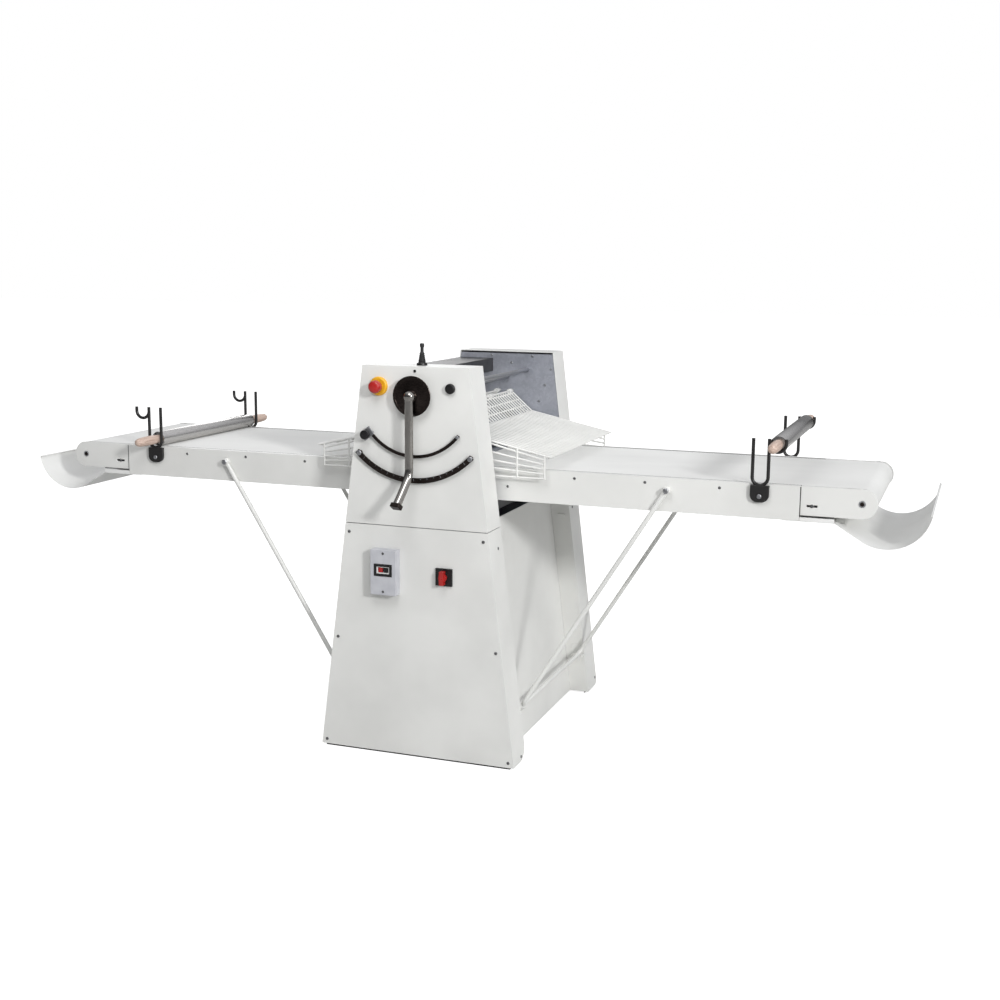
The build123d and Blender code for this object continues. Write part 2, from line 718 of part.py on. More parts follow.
def build_bail():
    lean_x = bail_foot_x - bail_pivot_x
    lean_z = bail_foot_z - bail_pivot_z
    length = math.hypot(lean_x, lean_z)
    bend = 30
    y = bail_half_width
    stop_x = bail_foot_x - lean_x / length * bend
    stop_z = bail_foot_z - lean_z / length * bend
    bail = along_y(bail_foot_x, bail_foot_z, bail_radius, -y + bend, y - bend)
    for side in (-1, 1):
        start = (bail_pivot_x + lean_x / length * 8, side * y, bail_pivot_z + lean_z / length * 8)
        corner = (stop_x, side * y, stop_z)
        foot = (bail_foot_x, side * (y - bend), bail_foot_z)
        bail += rod(start, corner, bail_radius)
        arc = TangentArc(corner, foot, tangent=(lean_x, 0, lean_z))
        bail += sweep(Plane(arc @ 0, z_dir=arc % 0) * Circle(bail_radius), path=arc)
        # The tube's end is pressed flat around its eye
        for face in (y - bail_eye_half - 4, y + bail_eye_half):
            bail -= along_y(bail_pivot_x, bail_pivot_z, bail_eye_radius + 3, side * face, side * (face + 4))
        bail += along_y(bail_pivot_x, bail_pivot_z, bail_eye_radius,
                        side * (y - bail_eye_half), side * (y + bail_eye_half))
        bail -= along_y(bail_pivot_x, bail_pivot_z, bail_pin_radius + running, side * (y - 20), side * (y + 20))
    save_pair("bail", bail)


# Forked holders on the rails' outer faces: a U slot, and a hook off the middle prong
def build_holders():
    y = -rail_half_width - prong_radius - 2
    base_z0, base_z1 = 890, 930
    u_centre = (inner_prong_x + middle_prong_x) / 2
    u_radius = (middle_prong_x - inner_prong_x) / 2
    hook_centre = (middle_prong_x + outer_prong_x) / 2
    hook_radius = (outer_prong_x - middle_prong_x) / 2
    u_z = 965
    hook_z = 1068
    base = block(inner_prong_x - 5, middle_prong_x + 5, -rail_half_width, y - prong_radius, base_z0, base_z1)
    base += block(inner_prong_x - 5, middle_prong_x + 5, -rail_half_width, y - prong_radius,
                  base_z1 - 1, u_z - u_radius)
    # The hook's rod is a little thinner than the prong that it leaves
    bends = ((u_centre, u_z, u_radius, prong_radius), (hook_centre, hook_z, hook_radius, hook_rod_radius))
    ends = ((inner_prong_x, u_z, prong_radius), (middle_prong_x, u_z, prong_radius),
            (outer_prong_x, hook_z, hook_rod_radius))
    holder = base
    for x, z, rod_radius in ends:
        holder += upright(x, y, rod_radius, z, prong_top)
    for cx, cz, radius, rod_radius in bends:
        arc = ThreePointArc((cx - radius, y, cz), (cx, y, cz - radius), (cx + radius, y, cz))
        holder += sweep(Plane(arc @ 0, z_dir=arc % 0) * Circle(rod_radius), path=arc)
    save_pair("pin_holders", *both_sides(holder))
    return u_centre, hook_centre, hook_z - hook_radius + hook_rod_radius


def build_pins(u_centre, hook_centre, hook_floor):
    low_z = max(belt_top, rail_top) + belt_clearance + pin_tube_radius
    high_z = hook_floor + belt_clearance + pin_handle_radius
    for name, x, z in (("left_pin", -u_centre, low_z), ("right_pin", hook_centre, high_z)):
        spigot = 9
        tube = along_y(x, z, pin_tube_radius, -pin_half_tube, pin_half_tube)
        tube -= along_y(x, z, pin_tube_radius - 3, -pin_half_tube + 12, pin_half_tube - 12)
        tube -= along_y(x, z, spigot, -pin_half_tube - 1, pin_half_tube + 1)
        save(name + "_tube", tube)
        handle = along_y(x, z, pin_handle_radius, -pin_half_length, -pin_half_tube)
        handle = fillet(handle.edges().group_by(Axis.Y)[0], 7)
        handle += along_y(x, z, spigot, -pin_half_tube, -pin_half_tube + 12)
        save(name + "_handles", *both_sides(handle))


# A lattice of bars in the X-Y plane, then turned to its slope
def lattice(length, half_width_y, rows, columns):
    pitch_x = (length - guard_bar) / columns
    pitch_y = (2 * half_width_y - guard_bar) / rows
    holes = GridLocations(pitch_x, pitch_y, columns, rows)
    windows = holes * Rectangle(pitch_x - guard_bar, pitch_y - guard_bar)
    sheet_face = Rectangle(length, 2 * half_width_y) - windows
    return Pos(length / 2, 0, 0) * extrude(sheet_face, amount=guard_bar / 2, both=True)


def build_guard():
    hinge = (guard_hinge_x, guard_hinge_z)
    side_y = guard_half_width
    top_half = side_y - guard_bar / 2 - 0.5
    panels = []
    trim = guard_bar
    for start, end, columns in ((hinge, guard_bend, 3), (guard_bend, guard_tip, 5)):
        run = math.hypot(end[0] - start[0], end[1] - start[1])
        slope = math.degrees(math.atan2(start[1] - end[1], end[0] - start[0]))
        panel = lattice(run - trim, top_half, 28, columns)
        panels.append(Pos(start[0], 0, start[1]) * Rot(0, slope, 0) * Pos(trim / 2, 0, 0) * panel)
    low_z = 922
    inner_x = 62
    outer_x = guard_tip[0] - 24
    rods = 5

    def top_at(x):
        if x < guard_bend[0]:
            share = (x - hinge[0]) / (guard_bend[0] - hinge[0])
            return hinge[1] + share * (guard_bend[1] - hinge[1])
        share = (x - guard_bend[0]) / (guard_tip[0] - guard_bend[0])
        return guard_bend[1] + share * (guard_tip[1] - guard_bend[1])

    y0, y1 = -side_y - guard_bar / 2, -side_y + guard_bar / 2
    side = bar_xz(hinge, guard_bend, guard_bar, y0, y1)
    side += bar_xz(guard_bend, guard_tip, guard_bar, y0, y1)
    side += along_y(*guard_bend, guard_bar / 2, y0, y1)
    for index in range(1, rods + 1):
        share = index / rods
        start = (inner_x, top_at(inner_x) + share * (low_z - top_at(inner_x)))
        end = (outer_x, top_at(outer_x) + share * (low_z - top_at(outer_x)))
        side += bar_xz(start, end, guard_bar, y0, y1)
    for x in (inner_x, 180, 293, outer_x - guard_bar / 2):
        side += block(x - guard_bar / 2, x + guard_bar / 2, y0, y1, low_z - guard_bar / 2, top_at(x))
    # The hinge pin turns in the side plate
    side += along_y(*hinge, guard_pin_radius + 3, y0, y1)
    side += along_y(*hinge, guard_pin_radius, y1, -plate_outer - 3)
    # Short webs that carry the top panels
    ribs = []
    for x in (hinge[0] + 30, guard_bend[0] + 40, guard_tip[0] - 40):
        z = top_at(x)
        ribs.append(block(x - 3, x + 3, y1 - 1, y1 + 0.5, z - 2, z + 2))
    for rib in ribs:
        side += rib
    save_pair("guard", *panels, *both_sides(side))


os.makedirs("parts", exist_ok=True)
build_stand()
build_cradles()
build_head()
build_rollers()
build_lever()
build_controls()
build_table()
build_pan()
build_bail()
build_pins(*build_holders())
build_guard()
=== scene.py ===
import json
import math
import bmesh
import bpy
from mathutils import Matrix, Vector

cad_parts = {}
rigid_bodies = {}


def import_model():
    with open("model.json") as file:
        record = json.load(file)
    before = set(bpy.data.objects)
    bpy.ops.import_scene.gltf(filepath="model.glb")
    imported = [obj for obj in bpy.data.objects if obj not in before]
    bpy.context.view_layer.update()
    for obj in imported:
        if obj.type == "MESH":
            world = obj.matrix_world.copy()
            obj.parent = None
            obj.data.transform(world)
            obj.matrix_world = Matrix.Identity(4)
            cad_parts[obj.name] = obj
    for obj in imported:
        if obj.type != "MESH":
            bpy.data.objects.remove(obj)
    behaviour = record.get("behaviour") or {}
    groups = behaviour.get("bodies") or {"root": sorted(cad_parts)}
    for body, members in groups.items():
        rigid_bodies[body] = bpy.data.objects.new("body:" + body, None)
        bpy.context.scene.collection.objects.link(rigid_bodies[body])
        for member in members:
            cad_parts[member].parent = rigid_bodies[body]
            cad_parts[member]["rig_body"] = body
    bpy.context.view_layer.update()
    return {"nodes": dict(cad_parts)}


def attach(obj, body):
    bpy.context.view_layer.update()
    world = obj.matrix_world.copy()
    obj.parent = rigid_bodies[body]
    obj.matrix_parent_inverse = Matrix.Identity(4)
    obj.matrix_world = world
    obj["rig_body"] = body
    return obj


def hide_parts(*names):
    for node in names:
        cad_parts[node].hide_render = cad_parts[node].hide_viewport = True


# Dough sheeter: painted housings, belt tables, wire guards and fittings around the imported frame.
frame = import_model()
nodes = frame["nodes"]
sides = {"right": 1, "left": -1}


def mm(*values):
    # millimetres to the scene's metres
    return values[0] / 1000 if len(values) == 1 else tuple(value / 1000 for value in values)


def linear(hexColour):
    # sRGB hex to linear RGBA
    channels = [int(hexColour[start:start + 2], 16) / 255 for start in (1, 3, 5)]
    return [c / 12.92 if c <= 0.04045 else ((c + 0.055) / 1.055) ** 2.4 for c in channels] + [1.0]


def addNode(tree, kind, settings=None, values=None, links=None, tones=()):
    # settings are the node's own fields, values its unlinked sockets, links its linked ones, and tones
    # the stops of a colour ramp
    node = tree.nodes.new(kind)
    for name, setting in (settings or {}).items():
        setattr(node, name, setting)
    for name, value in (values or {}).items():
        node.inputs[name].default_value = value
    for name, source in (links or {}).items():
        tree.links.new(source, node.inputs[name])
    for index, (position, hexColour) in enumerate(tones):
        node.color_ramp.elements[index].position = position
        node.color_ramp.elements[index].color = linear(hexColour)
    return node


evenly = (1, 1, 1)  # a grain that is as long as it is wide


def newMaterial(name, constants, grains):
    # a Principled shader with its constants, and its noises by name: grain in millimetres, detail, and
    # a stretch whose numbers under 1 draw the grain out along that axis
    material = bpy.data.materials.new(name)
    material.use_nodes = True
    tree = material.node_tree
    tree.nodes.clear()
    shader = addNode(tree, "ShaderNodeBsdfPrincipled", values=constants)
    addNode(tree, "ShaderNodeOutputMaterial", links={"Surface": shader.outputs["BSDF"]})
    place = addNode(tree, "ShaderNodeTexCoord").outputs["Object"]
    noises = {}
    for label, (size, detail, stretch) in grains.items():
        scaled = addNode(tree, "ShaderNodeMapping", values={"Scale": stretch}, links={"Vector": place})
        noise = addNode(tree, "ShaderNodeTexNoise", values={"Scale": 1 / mm(size), "Detail": detail},
                        links={"Vector": scaled.outputs["Vector"]})
        noises[label] = noise.outputs["Fac"]
    return material, tree, shader, place, noises


def giveSurface(tree, shader, colour, gloss, relief):
    # gloss is a pattern and the two roughnesses it runs between, relief a pattern, its depth in
    # millimetres and its strength
    rough = addNode(tree, "ShaderNodeMapRange", values={"To Min": gloss[1], "To Max": gloss[2]},
                    links={"Value": gloss[0]})
    skin = addNode(tree, "ShaderNodeBump", values={"Distance": mm(relief[1]), "Strength": relief[2]},
                   links={"Height": relief[0]})
    for socket, source in (("Base Color", colour), ("Roughness", rough.outputs["Result"]),
                           ("Normal", skin.outputs["Normal"])):
        tree.links.new(source, shader.inputs[socket])


def powderCoat(name, light, dark, roughness):
    # sprayed and baked powder: an even satin skin with a fine orange peel and faint handling marks
    grains = {"clouds": (260, 3, evenly), "marks": (45, 2, evenly),
              "peel": (2.2, 1, evenly)}  # real peel is about 1 mm, drawn coarser so that it shows
    constants = {"Coat Weight": 0.12, "Coat Roughness": 0.25}
    material, tree, shader, place, noises = newMaterial(name, constants, grains)
    paint = addNode(tree, "ShaderNodeValToRGB", links={"Fac": noises["clouds"]},
                    tones=((0.32, dark), (0.62, light)))
    giveSurface(tree, shader, paint.outputs["Color"], (noises["marks"], roughness - 0.06, roughness + 0.08),
                (noises["peel"], 0.05, 0.35))
    return material


def zincSpangle(name, light, dark, roughness):
    # galvanised sheet: faint crystals about 8 mm across, a cool grey with soft brighter clouds
    grains = {"stain": (180, 4, evenly), "waves": (18, 1, evenly)}
    material, tree, shader, place, noises = newMaterial(name, {"Metallic": 0.5}, grains)
    cells = addNode(tree, "ShaderNodeTexVoronoi", values={"Scale": 1 / mm(8)}, links={"Vector": place})
    crystals = addNode(tree, "ShaderNodeSeparateColor", links={"Color": cells.outputs["Color"]})
    mixed = addNode(tree, "ShaderNodeMath", {"operation": "MULTIPLY_ADD"}, {1: 0.16},
                    {0: crystals.outputs["Red"], 2: noises["stain"]})
    zinc = addNode(tree, "ShaderNodeValToRGB", links={"Fac": mixed.outputs["Value"]},
                   tones=((0.4, dark), (0.75, light)))
    giveSurface(tree, shader, zinc.outputs["Color"],
                (crystals.outputs["Red"], roughness - 0.03, roughness + 0.06), (noises["waves"], 0.02, 0.1))
    return material


def machinedMetal(name, light, dark, roughness, along=evenly):
    # ground or brushed metal: fine lines run along the axis with the small stretch
    grains = {"lines": (1.2, 2, along),  # real lines are 0.1 mm, drawn as wide as they need to show
              "smudges": (70, 3, evenly)}
    material, tree, shader, place, noises = newMaterial(name, {"Metallic": 1.0}, grains)
    metal = addNode(tree, "ShaderNodeValToRGB", links={"Fac": noises["lines"]},
                    tones=((0.3, dark), (0.7, light)))
    giveSurface(tree, shader, metal.outputs["Color"], (noises["smudges"], roughness - 0.05, roughness + 0.1),
                (noises["lines"], 0.02, 0.25))
    return material


def mouldedPlastic(name, light, dark, roughness, coat=0.0):
    # injection-moulded plastic: even colour, a fine spark-eroded grain and soft gloss changes
    grains = {"tint": (30, 2, evenly), "gloss": (9, 2, evenly), "grain": (0.9, 1, evenly)}
    constants = {"Coat Weight": coat, "Coat Roughness": 0.08, "IOR": 1.5}
    material, tree, shader, place, noises = newMaterial(name, constants, grains)
    dye = addNode(tree, "ShaderNodeValToRGB", links={"Fac": noises["tint"]},
                  tones=((0.3, dark), (0.7, light)))
    giveSurface(tree, shader, dye.outputs["Color"], (noises["gloss"], roughness - 0.05, roughness + 0.07),
                (noises["grain"], 0.03, 0.3))
    return material


def beltCover(name):
    # PVC belt with a woven impression: matt white, threads 1.2 mm apart drawn at 3 mm, flour dust
    constants = {"Sheen Weight": 0.25, "Sheen Roughness": 0.6}
    material, tree, shader, place, noises = newMaterial(name, constants, {"dust": (320, 4, (0.5, 1, 1))})
    bands = []
    for axis in ("X", "Y"):
        wave = addNode(tree, "ShaderNodeTexWave", {"bands_direction": axis},
                       {"Scale": 0.314 / mm(3), "Distortion": 0.4}, {"Vector": place})
        bands.append(wave.outputs["Fac"])
    weave = addNode(tree, "ShaderNodeMath", {"operation": "MULTIPLY"}, links={0: bands[0], 1: bands[1]})
    cover = addNode(tree, "ShaderNodeValToRGB", links={"Fac": noises["dust"]},
                    tones=((0.3, "#D9D9D6"), (0.65, "#E6E6E3")))
    giveSurface(tree, shader, cover.outputs["Color"], (noises["dust"], 0.62, 0.78),
                (weave.outputs["Value"], 0.15, 0.25))
    return material


def oiledBeech(name):
    # turned beech: pinkish tan, grain along the pin with short dark flecks
    grains = {"grain": (5, 4, (1, 0.06, 1)), "flecks": (1.6, 1, (1, 0.25, 1))}
    constants = {"Coat Weight": 0.15, "Coat Roughness": 0.35}
    material, tree, shader, place, noises = newMaterial(name, constants, grains)
    ground = addNode(tree, "ShaderNodeValToRGB", links={"Fac": noises["grain"]},
                     tones=((0.35, "#B99F90"), (0.65, "#D9C3B5")))
    specks = addNode(tree, "ShaderNodeValToRGB", links={"Fac": noises["flecks"]},
                     tones=((0.3, "#B48A6E"), (0.42, "#FFFFFF")))
    both = addNode(tree, "ShaderNodeMix", {"data_type": "RGBA", "blend_type": "MULTIPLY"}, {"Factor": 0.5},
                   {"A": ground.outputs["Color"], "B": specks.outputs["Color"]})
    giveSurface(tree, shader, both.outputs["Result"], (noises["grain"], 0.42, 0.58),
                (noises["grain"], 0.08, 0.3))
    return material


finishes = {
    "white_enamel": powderCoat("whitePowderCoat", "#E9E9E6", "#DFDFDC", 0.42),
    "white_polymer": powderCoat("whiteCoatedSheet", "#EFEFED", "#E6E6E3", 0.34),
    "black_enamel": powderCoat("blackPowderCoat", "#1B1A1A", "#131212", 0.36),
    "galvanised": zincSpangle("galvanisedSheet", "#BDC0C9", "#A3A6B0", 0.36),
    "zinc_steel": machinedMetal("zincPlatedSteel", "#B6B7B9", "#94959A", 0.34, (1, 0.2, 1)),
    "dark_steel": machinedMetal("blackenedSteel", "#453D3A", "#282322", 0.28, (0.2, 1, 1)),
    "chromed_roller": machinedMetal("hardChrome", "#D9DADD", "#CACBCF", 0.12, (1, 0.1, 1)),
    "roller_aluminium": machinedMetal("turnedAluminium", "#C4C5C8", "#AEB0B4", 0.3, (1, 3, 1)),
    "stainless": machinedMetal("polishedStainless", "#A9A6A2", "#8F8C88", 0.13, (1, 1, 0.06)),
    "screw_steel": machinedMetal("zincPlatedScrew", "#8F8F90", "#6A6A6C", 0.3),
    "white_belt": beltCover("wovenPvcBelt"),
    "black_plastic": mouldedPlastic("blackAbs", "#161617", "#101011", 0.34),
    "grey_plastic": mouldedPlastic("lightGreyAbs", "#C6C7CC", "#BBBCC2", 0.42),
    "red_plastic": mouldedPlastic("redPolycarbonate", "#B5221F", "#9C1817", 0.28, 0.3),
    "yellow_plastic": mouldedPlastic("yellowPolycarbonate", "#EDB52A", "#DFA21C", 0.32, 0.2),
    "black_rubber": mouldedPlastic("blackRubber", "#1D1D1F", "#161618", 0.6),
    "beech": oiledBeech("oiledBeech"),
}
pinSteel = machinedMetal("groundPinTube", "#D2D0CE", "#B9B7B5", 0.2, (1, 0.05, 1))
print("materials", len(finishes) + 1)


def finishPiece(name, mesh, body, slotName, replaced=(), material=None):
    piece = bpy.data.objects.new(name, mesh)
    bpy.context.scene.collection.objects.link(piece)
    mesh.materials.clear()
    mesh.materials.append(material or finishes[slotName])
    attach(piece, body)
    if replaced:
        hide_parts(*replaced)
    return piece


def meshFrom(bm, name, smoothAngle=38):
    mesh = bpy.data.meshes.new(name)
    bm.to_mesh(mesh)
    bm.free()
    if mesh.has_custom_normals:
        mesh.attributes.remove(mesh.attributes["custom_normal"])
    mesh.shade_smooth()
    mesh.set_sharp_from_angle(angle=math.radians(smoothAngle))
    return mesh


def roundEdges(piece, width, segments=2):
    # every edge sharper than 30 degrees gets a small radius that catches the light
    modifier = piece.modifiers.new("edgeRadius", "BEVEL")
    modifier.width = mm(width)
    modifier.segments = segments
    modifier.limit_method = "ANGLE"
    modifier.angle_limit = math.radians(30)
    modifier.harden_normals = True


def dress(name, nodeName, slotName, width):
    # the CAD piece with merged faces and rounded edges, in its finish
    bm = bmesh.new()
    bm.from_mesh(nodes[nodeName].data)
    bmesh.ops.remove_doubles(bm, verts=bm.verts, dist=mm(0.02))
    bmesh.ops.dissolve_limit(bm, angle_limit=math.radians(0.4), use_dissolve_boundaries=False,
                             verts=bm.verts, edges=bm.edges)
    piece = finishPiece(name, meshFrom(bm, name), nodes[nodeName]["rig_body"], slotName, [nodeName])
    roundEdges(piece, width)


frontward = Matrix.Rotation(math.radians(90), 4, "X")  # local +Z towards the front, -Y
backward = Matrix.Rotation(math.radians(-90), 4, "X")  # local +Z towards the back, +Y


def placeAt(x, y, z, turn=None):
    return Matrix.Translation(Vector(mm(x, y, z))) @ (turn or Matrix.Identity(4))


def turnedShape(bm, profile, steps=48, closed=False):
    # a lathe outline of (radius, height) millimetres, spun about Z
    verts = [bm.verts.new((mm(radius), 0, mm(height))) for radius, height in profile]
    pairs = list(zip(verts, verts[1:])) + ([(verts[-1], verts[0])] if closed else [])
    edges = [bm.edges.new(pair) for pair in pairs]
    bmesh.ops.spin(bm, geom=verts + edges, cent=(0, 0, 0), axis=(0, 0, 1), dvec=(0, 0, 0),
                   angle=2 * math.pi, steps=steps, use_merge=True, use_duplicate=False)
    bmesh.ops.remove_doubles(bm, verts=bm.verts, dist=1e-6)
    bmesh.ops.recalc_face_normals(bm, faces=bm.faces)


def turned(name, profile, place, body, slotName, replaced=(), turn=None, steps=48, closed=False,
           material=None):
    bm = bmesh.new()
    turnedShape(bm, profile, steps, closed)
    bmesh.ops.transform(bm, matrix=placeAt(*place, turn), verts=bm.verts)
    return finishPiece(name, meshFrom(bm, name), body, slotName, replaced, material)


lobeDepth = 0.16  # of the radius


def copies(name, profile, matrices, body, slotName, replaced=(), steps=20, closed=False, lobes=0,
           lobeRadius=0.0):
    # one turned shape repeated at each place; inside lobeRadius it may be pulled into lobes
    whole = bmesh.new()
    for matrix in matrices:
        one = bmesh.new()
        turnedShape(one, profile, steps, closed)
        for vert in one.verts:
            reach = math.hypot(vert.co.x, vert.co.y)
            if lobes and 1e-6 < reach < mm(lobeRadius):
                bearing = math.atan2(vert.co.y, vert.co.x)
                grown = 1 + lobeDepth * math.cos(lobes * bearing)
                vert.co.x *= grown
                vert.co.y *= grown
        bmesh.ops.transform(one, matrix=matrix, verts=one.verts)
        scrap = bpy.data.meshes.new("scrap")
        one.to_mesh(scrap)
        one.free()
        whole.from_mesh(scrap)
        bpy.data.meshes.remove(scrap)
    return finishPiece(name, meshFrom(whole, name), body, slotName, replaced)


def wires(name, paths, radius, body, slotName, replaced=(), resolution=2):
    # round rods along polylines, given in millimetres
    curve = bpy.data.curves.new(name, "CURVE")
    curve.dimensions = "3D"
    curve.bevel_depth = mm(radius)
    curve.bevel_resolution = resolution
    curve.use_fill_caps = True
    for path in paths:
        spline = curve.splines.new("POLY")
        spline.points.add(len(path) - 1)
        for point, place in zip(spline.points, path):
            point.co = (*mm(*place), 1)
    holder = bpy.data.objects.new("scrapCurve", curve)
    bpy.context.scene.collection.objects.link(holder)
    bpy.context.view_layer.update()
    mesh = bpy.data.meshes.new_from_object(holder.evaluated_get(bpy.context.evaluated_depsgraph_get()))
    bpy.data.objects.remove(holder)
    bm = bmesh.new()
    bm.from_mesh(mesh)
    bmesh.ops.remove_doubles(bm, verts=bm.verts, dist=1e-6)
    bmesh.ops.recalc_face_normals(bm, faces=bm.faces)
    return finishPiece(name, meshFrom(bm, name, 50), body, slotName, replaced)


def movedVerts(made):
    return [item for item in made if isinstance(item, bmesh.types.BMVert)]


def farEdges(made):
    # the edges of an extrusion that lie wholly in what it moved
    verts = movedVerts(made)
    return [item for item in made if isinstance(item, bmesh.types.BMEdge)
            and item.verts[0] in verts and item.verts[1] in verts]


def plate(bm, wide, tall, thick, matrix):
    # a flat bar: a rectangle raised along local +Z, then put in its place
    base = bmesh.ops.create_grid(bm, x_segments=1, y_segments=1, size=0.5)["verts"]
    bmesh.ops.scale(bm, vec=mm(wide, tall, 1000), verts=base)
    raised = movedVerts(bmesh.ops.extrude_face_region(bm, geom=[base[0].link_faces[0]])["geom"])
    bmesh.ops.translate(bm, vec=mm(0, 0, thick), verts=raised)
    bmesh.ops.transform(bm, matrix=matrix, verts=base + raised)


def bar(name, size, matrix, body, slotName, width, replaced=()):
    bm = bmesh.new()
    plate(bm, *size, matrix)
    bmesh.ops.recalc_face_normals(bm, faces=bm.faces)
    roundEdges(finishPiece(name, meshFrom(bm, name), body, slotName, replaced), width, 3)


def arcPoints(centre, radius, start, stop, y, steps=14):
    # points of an arc in an X-Z plane, in degrees from +X towards +Z
    points = []
    for index in range(steps + 1):
        turn = math.radians(start + (stop - start) * index / steps)
        points.append((centre[0] + radius * math.cos(turn), y, centre[1] + radius * math.sin(turn)))
    return points


def mirrored(points, side):
    return [(side * x, y, z) for x, y, z in points]


domeScrew = [(0, 0.9), (0.42, 0.9), (0.46, 2.1), (0.62, 2.2), (0.86, 1.7), (1.0, 0.7), (1.0, 0), (0, 0)]


def screws(name, places, radius, height, body, slotName="screw_steel", replaced=(), turn=None):
    # domed heads with a six-lobed socket
    profile = [(r * radius, h / 2.2 * height) for r, h in domeScrew]
    matrices = [placeAt(x, y, z, turn or frontward) for x, y, z in places]
    return copies(name, profile, matrices, body, slotName, replaced, 24, False, 6, radius * 0.5)


housing = {"floorHalf": 339.0, "topHalf": 180.0, "height": 1270.0, "front": -482.0}


def halfWidth(z):
    return housing["floorHalf"] - (housing["floorHalf"] - housing["topHalf"]) / housing["height"] * z


sheetPieces = [
    ("frontStandShell", "front_stand_panel", "white_enamel", 1.0),
    ("rearStandShell", "rear_stand_panel", "white_enamel", 1.0),
    ("frontHeadShell", "front_head_cover", "white_enamel", 1.1),
    ("rearHeadShell", "rear_head_cover", "white_enamel", 1.1),
    ("crossPanelPair", "cross_panels", "white_enamel", 0.7),
    ("frontBearingPlate", "front_side_plate", "galvanised", 0.8),
    ("rearBearingPlate", "rear_side_plate", "galvanised", 0.8),
    ("topLid", "top_cover", "black_enamel", 0.5),
    ("tieRods", "tie_bars", "zinc_steel", 0.8),
    ("floorFrame", "base_frame", "zinc_steel", 0.8),
    ("bailCradles", "bail_cradles", "white_enamel", 0.7),
    ("flourTray", "crumb_tray", "black_enamel", 0.4),
    ("rackSliders", "bearing_sliders", "zinc_steel", 0.4),
    ("liftShaft", "lift_shaft", "zinc_steel", 0.4),
    ("lowerSheetingRoller", "lower_roller", "chromed_roller", 0.8),
    ("upperSheetingRoller", "upper_roller", "chromed_roller", 0.8),
    ("rubberFeet", "feet", "black_rubber", 1.2),
    ("cableGland", "cable_gland", "black_plastic", 0.8),
    ("flangeBearings", "flange_bearings", "zinc_steel", 0.8),
    ("wormGearmotor", "gearmotor", "zinc_steel", 2.0),
    ("driveChain", "drive_chain", "dark_steel", 0.6),
]
for row in sheetPieces:
    dress(*row)

panelScrew = {"inset": 17.0, "heights": (733, 380, 24), "radius": 5.2, "head": 2.2}
frontPlaces = [(side * (halfWidth(z) - panelScrew["inset"]), housing["front"], z)
               for z in panelScrew["heights"] for side in (-1, 1)]
rearPlaces = [(x, -y, z) for x, y, z in frontPlaces[:4]]
screws("frontPanelScrews", frontPlaces, panelScrew["radius"], panelScrew["head"], "stand",
       replaced=["panel_screws"])
screws("rearPanelScrews", rearPlaces, panelScrew["radius"], panelScrew["head"], "stand", turn=backward)
lean = math.atan((housing["floorHalf"] - housing["topHalf"]) / housing["height"])
flangeScrews = [(-405, 22), (-405, 700), (462, 36), (400, 700)]
for label, side in sides.items():
    outward = Matrix.Rotation(side * (math.pi / 2 - lean), 4, "Y")
    screws(label + "FlangeScrews", [(side * halfWidth(z), y, z) for y, z in flangeScrews], 5.0, 2.0,
           "stand", turn=outward)

# black strip in the gap above the floor, a painted shadow under the panels: round the front housing, and
# under the rear one's flanges
shadowGapStrip = {"z": 4.2, "radius": 3.6, "halfX": 322.0, "frontY": -474.0, "innerY": 372.0, "rearY": 456.0}
edgePaths = [[(side * shadowGapStrip["halfX"], shadowGapStrip["innerY"], shadowGapStrip["z"]),
              (side * shadowGapStrip["halfX"], shadowGapStrip["rearY"], shadowGapStrip["z"])] for side in (-1, 1)]
edgePaths.append([(-shadowGapStrip["halfX"], -shadowGapStrip["innerY"], shadowGapStrip["z"]),
                  (-shadowGapStrip["halfX"], shadowGapStrip["frontY"], shadowGapStrip["z"]),
                  (shadowGapStrip["halfX"], shadowGapStrip["frontY"], shadowGapStrip["z"]),
                  (shadowGapStrip["halfX"], -shadowGapStrip["innerY"], shadowGapStrip["z"])])
wires("floorShadowGapStrip", edgePaths, shadowGapStrip["radius"], "stand", "black_rubber")

plateScrew = {"face": 365.4, "radius": 4.6, "head": 2.2,  # face is the bearing plates' inner side
              "places": [(101, 1253), (172, 1208), (-57, 1253), (-65, 1214), (128, 1090), (-128, 1090),
                         (150, 1150), (20, 1228)]}
for label, end, turn in (("rear", 1, frontward), ("front", -1, backward)):
    screws(label + "PlateScrews", [(x, end * plateScrew["face"], z) for x, z in plateScrew["places"]],
           plateScrew["radius"], plateScrew["head"], "stand", "zinc_steel", turn=turn)
print("stand and head", len(sheetPieces))


def control(name, profile, x, z, body, slotName, replaced=(), closed=False, steps=48):
    # a turned control on the front face; heights count outwards from the panel
    return turned(name, profile, (x, housing["front"], z), body, slotName, replaced, frontward,
                  steps, closed)


estop = {"x": -122.0, "z": 1205.0}
control("stopButton", [(0, -12), (11, -12), (11, 17), (17.5, 18.4), (19.6, 20.5), (20, 23), (20, 35),
                       (19.3, 39), (17.2, 42.3), (13.5, 44.2), (8, 44.9), (0, 45)],
        estop["x"], estop["z"], "estop", "red_plastic", ["estop_button"])
control("stopCollar", [(11.1, 0), (30, 0), (30, 5), (29, 8), (26.5, 9.7), (24, 10), (20.5, 9), (15, 8.6),
                       (11.1, 8.6)], estop["x"], estop["z"], "stand", "yellow_plastic",
        ["estop_collar"], True)

jog = {"x": 121.0, "z": 1206.0}
control("jogButton", [(0, -12), (11, -12), (11, 6), (16, 6), (16, 11), (15.2, 13.2), (13.6, 14.2),
                      (12.8, 13.2), (12.4, 13.4), (11.4, 15.4), (9, 15.9), (0, 15.2)],
        jog["x"], jog["z"], "jog", "black_plastic", ["jog_button"])

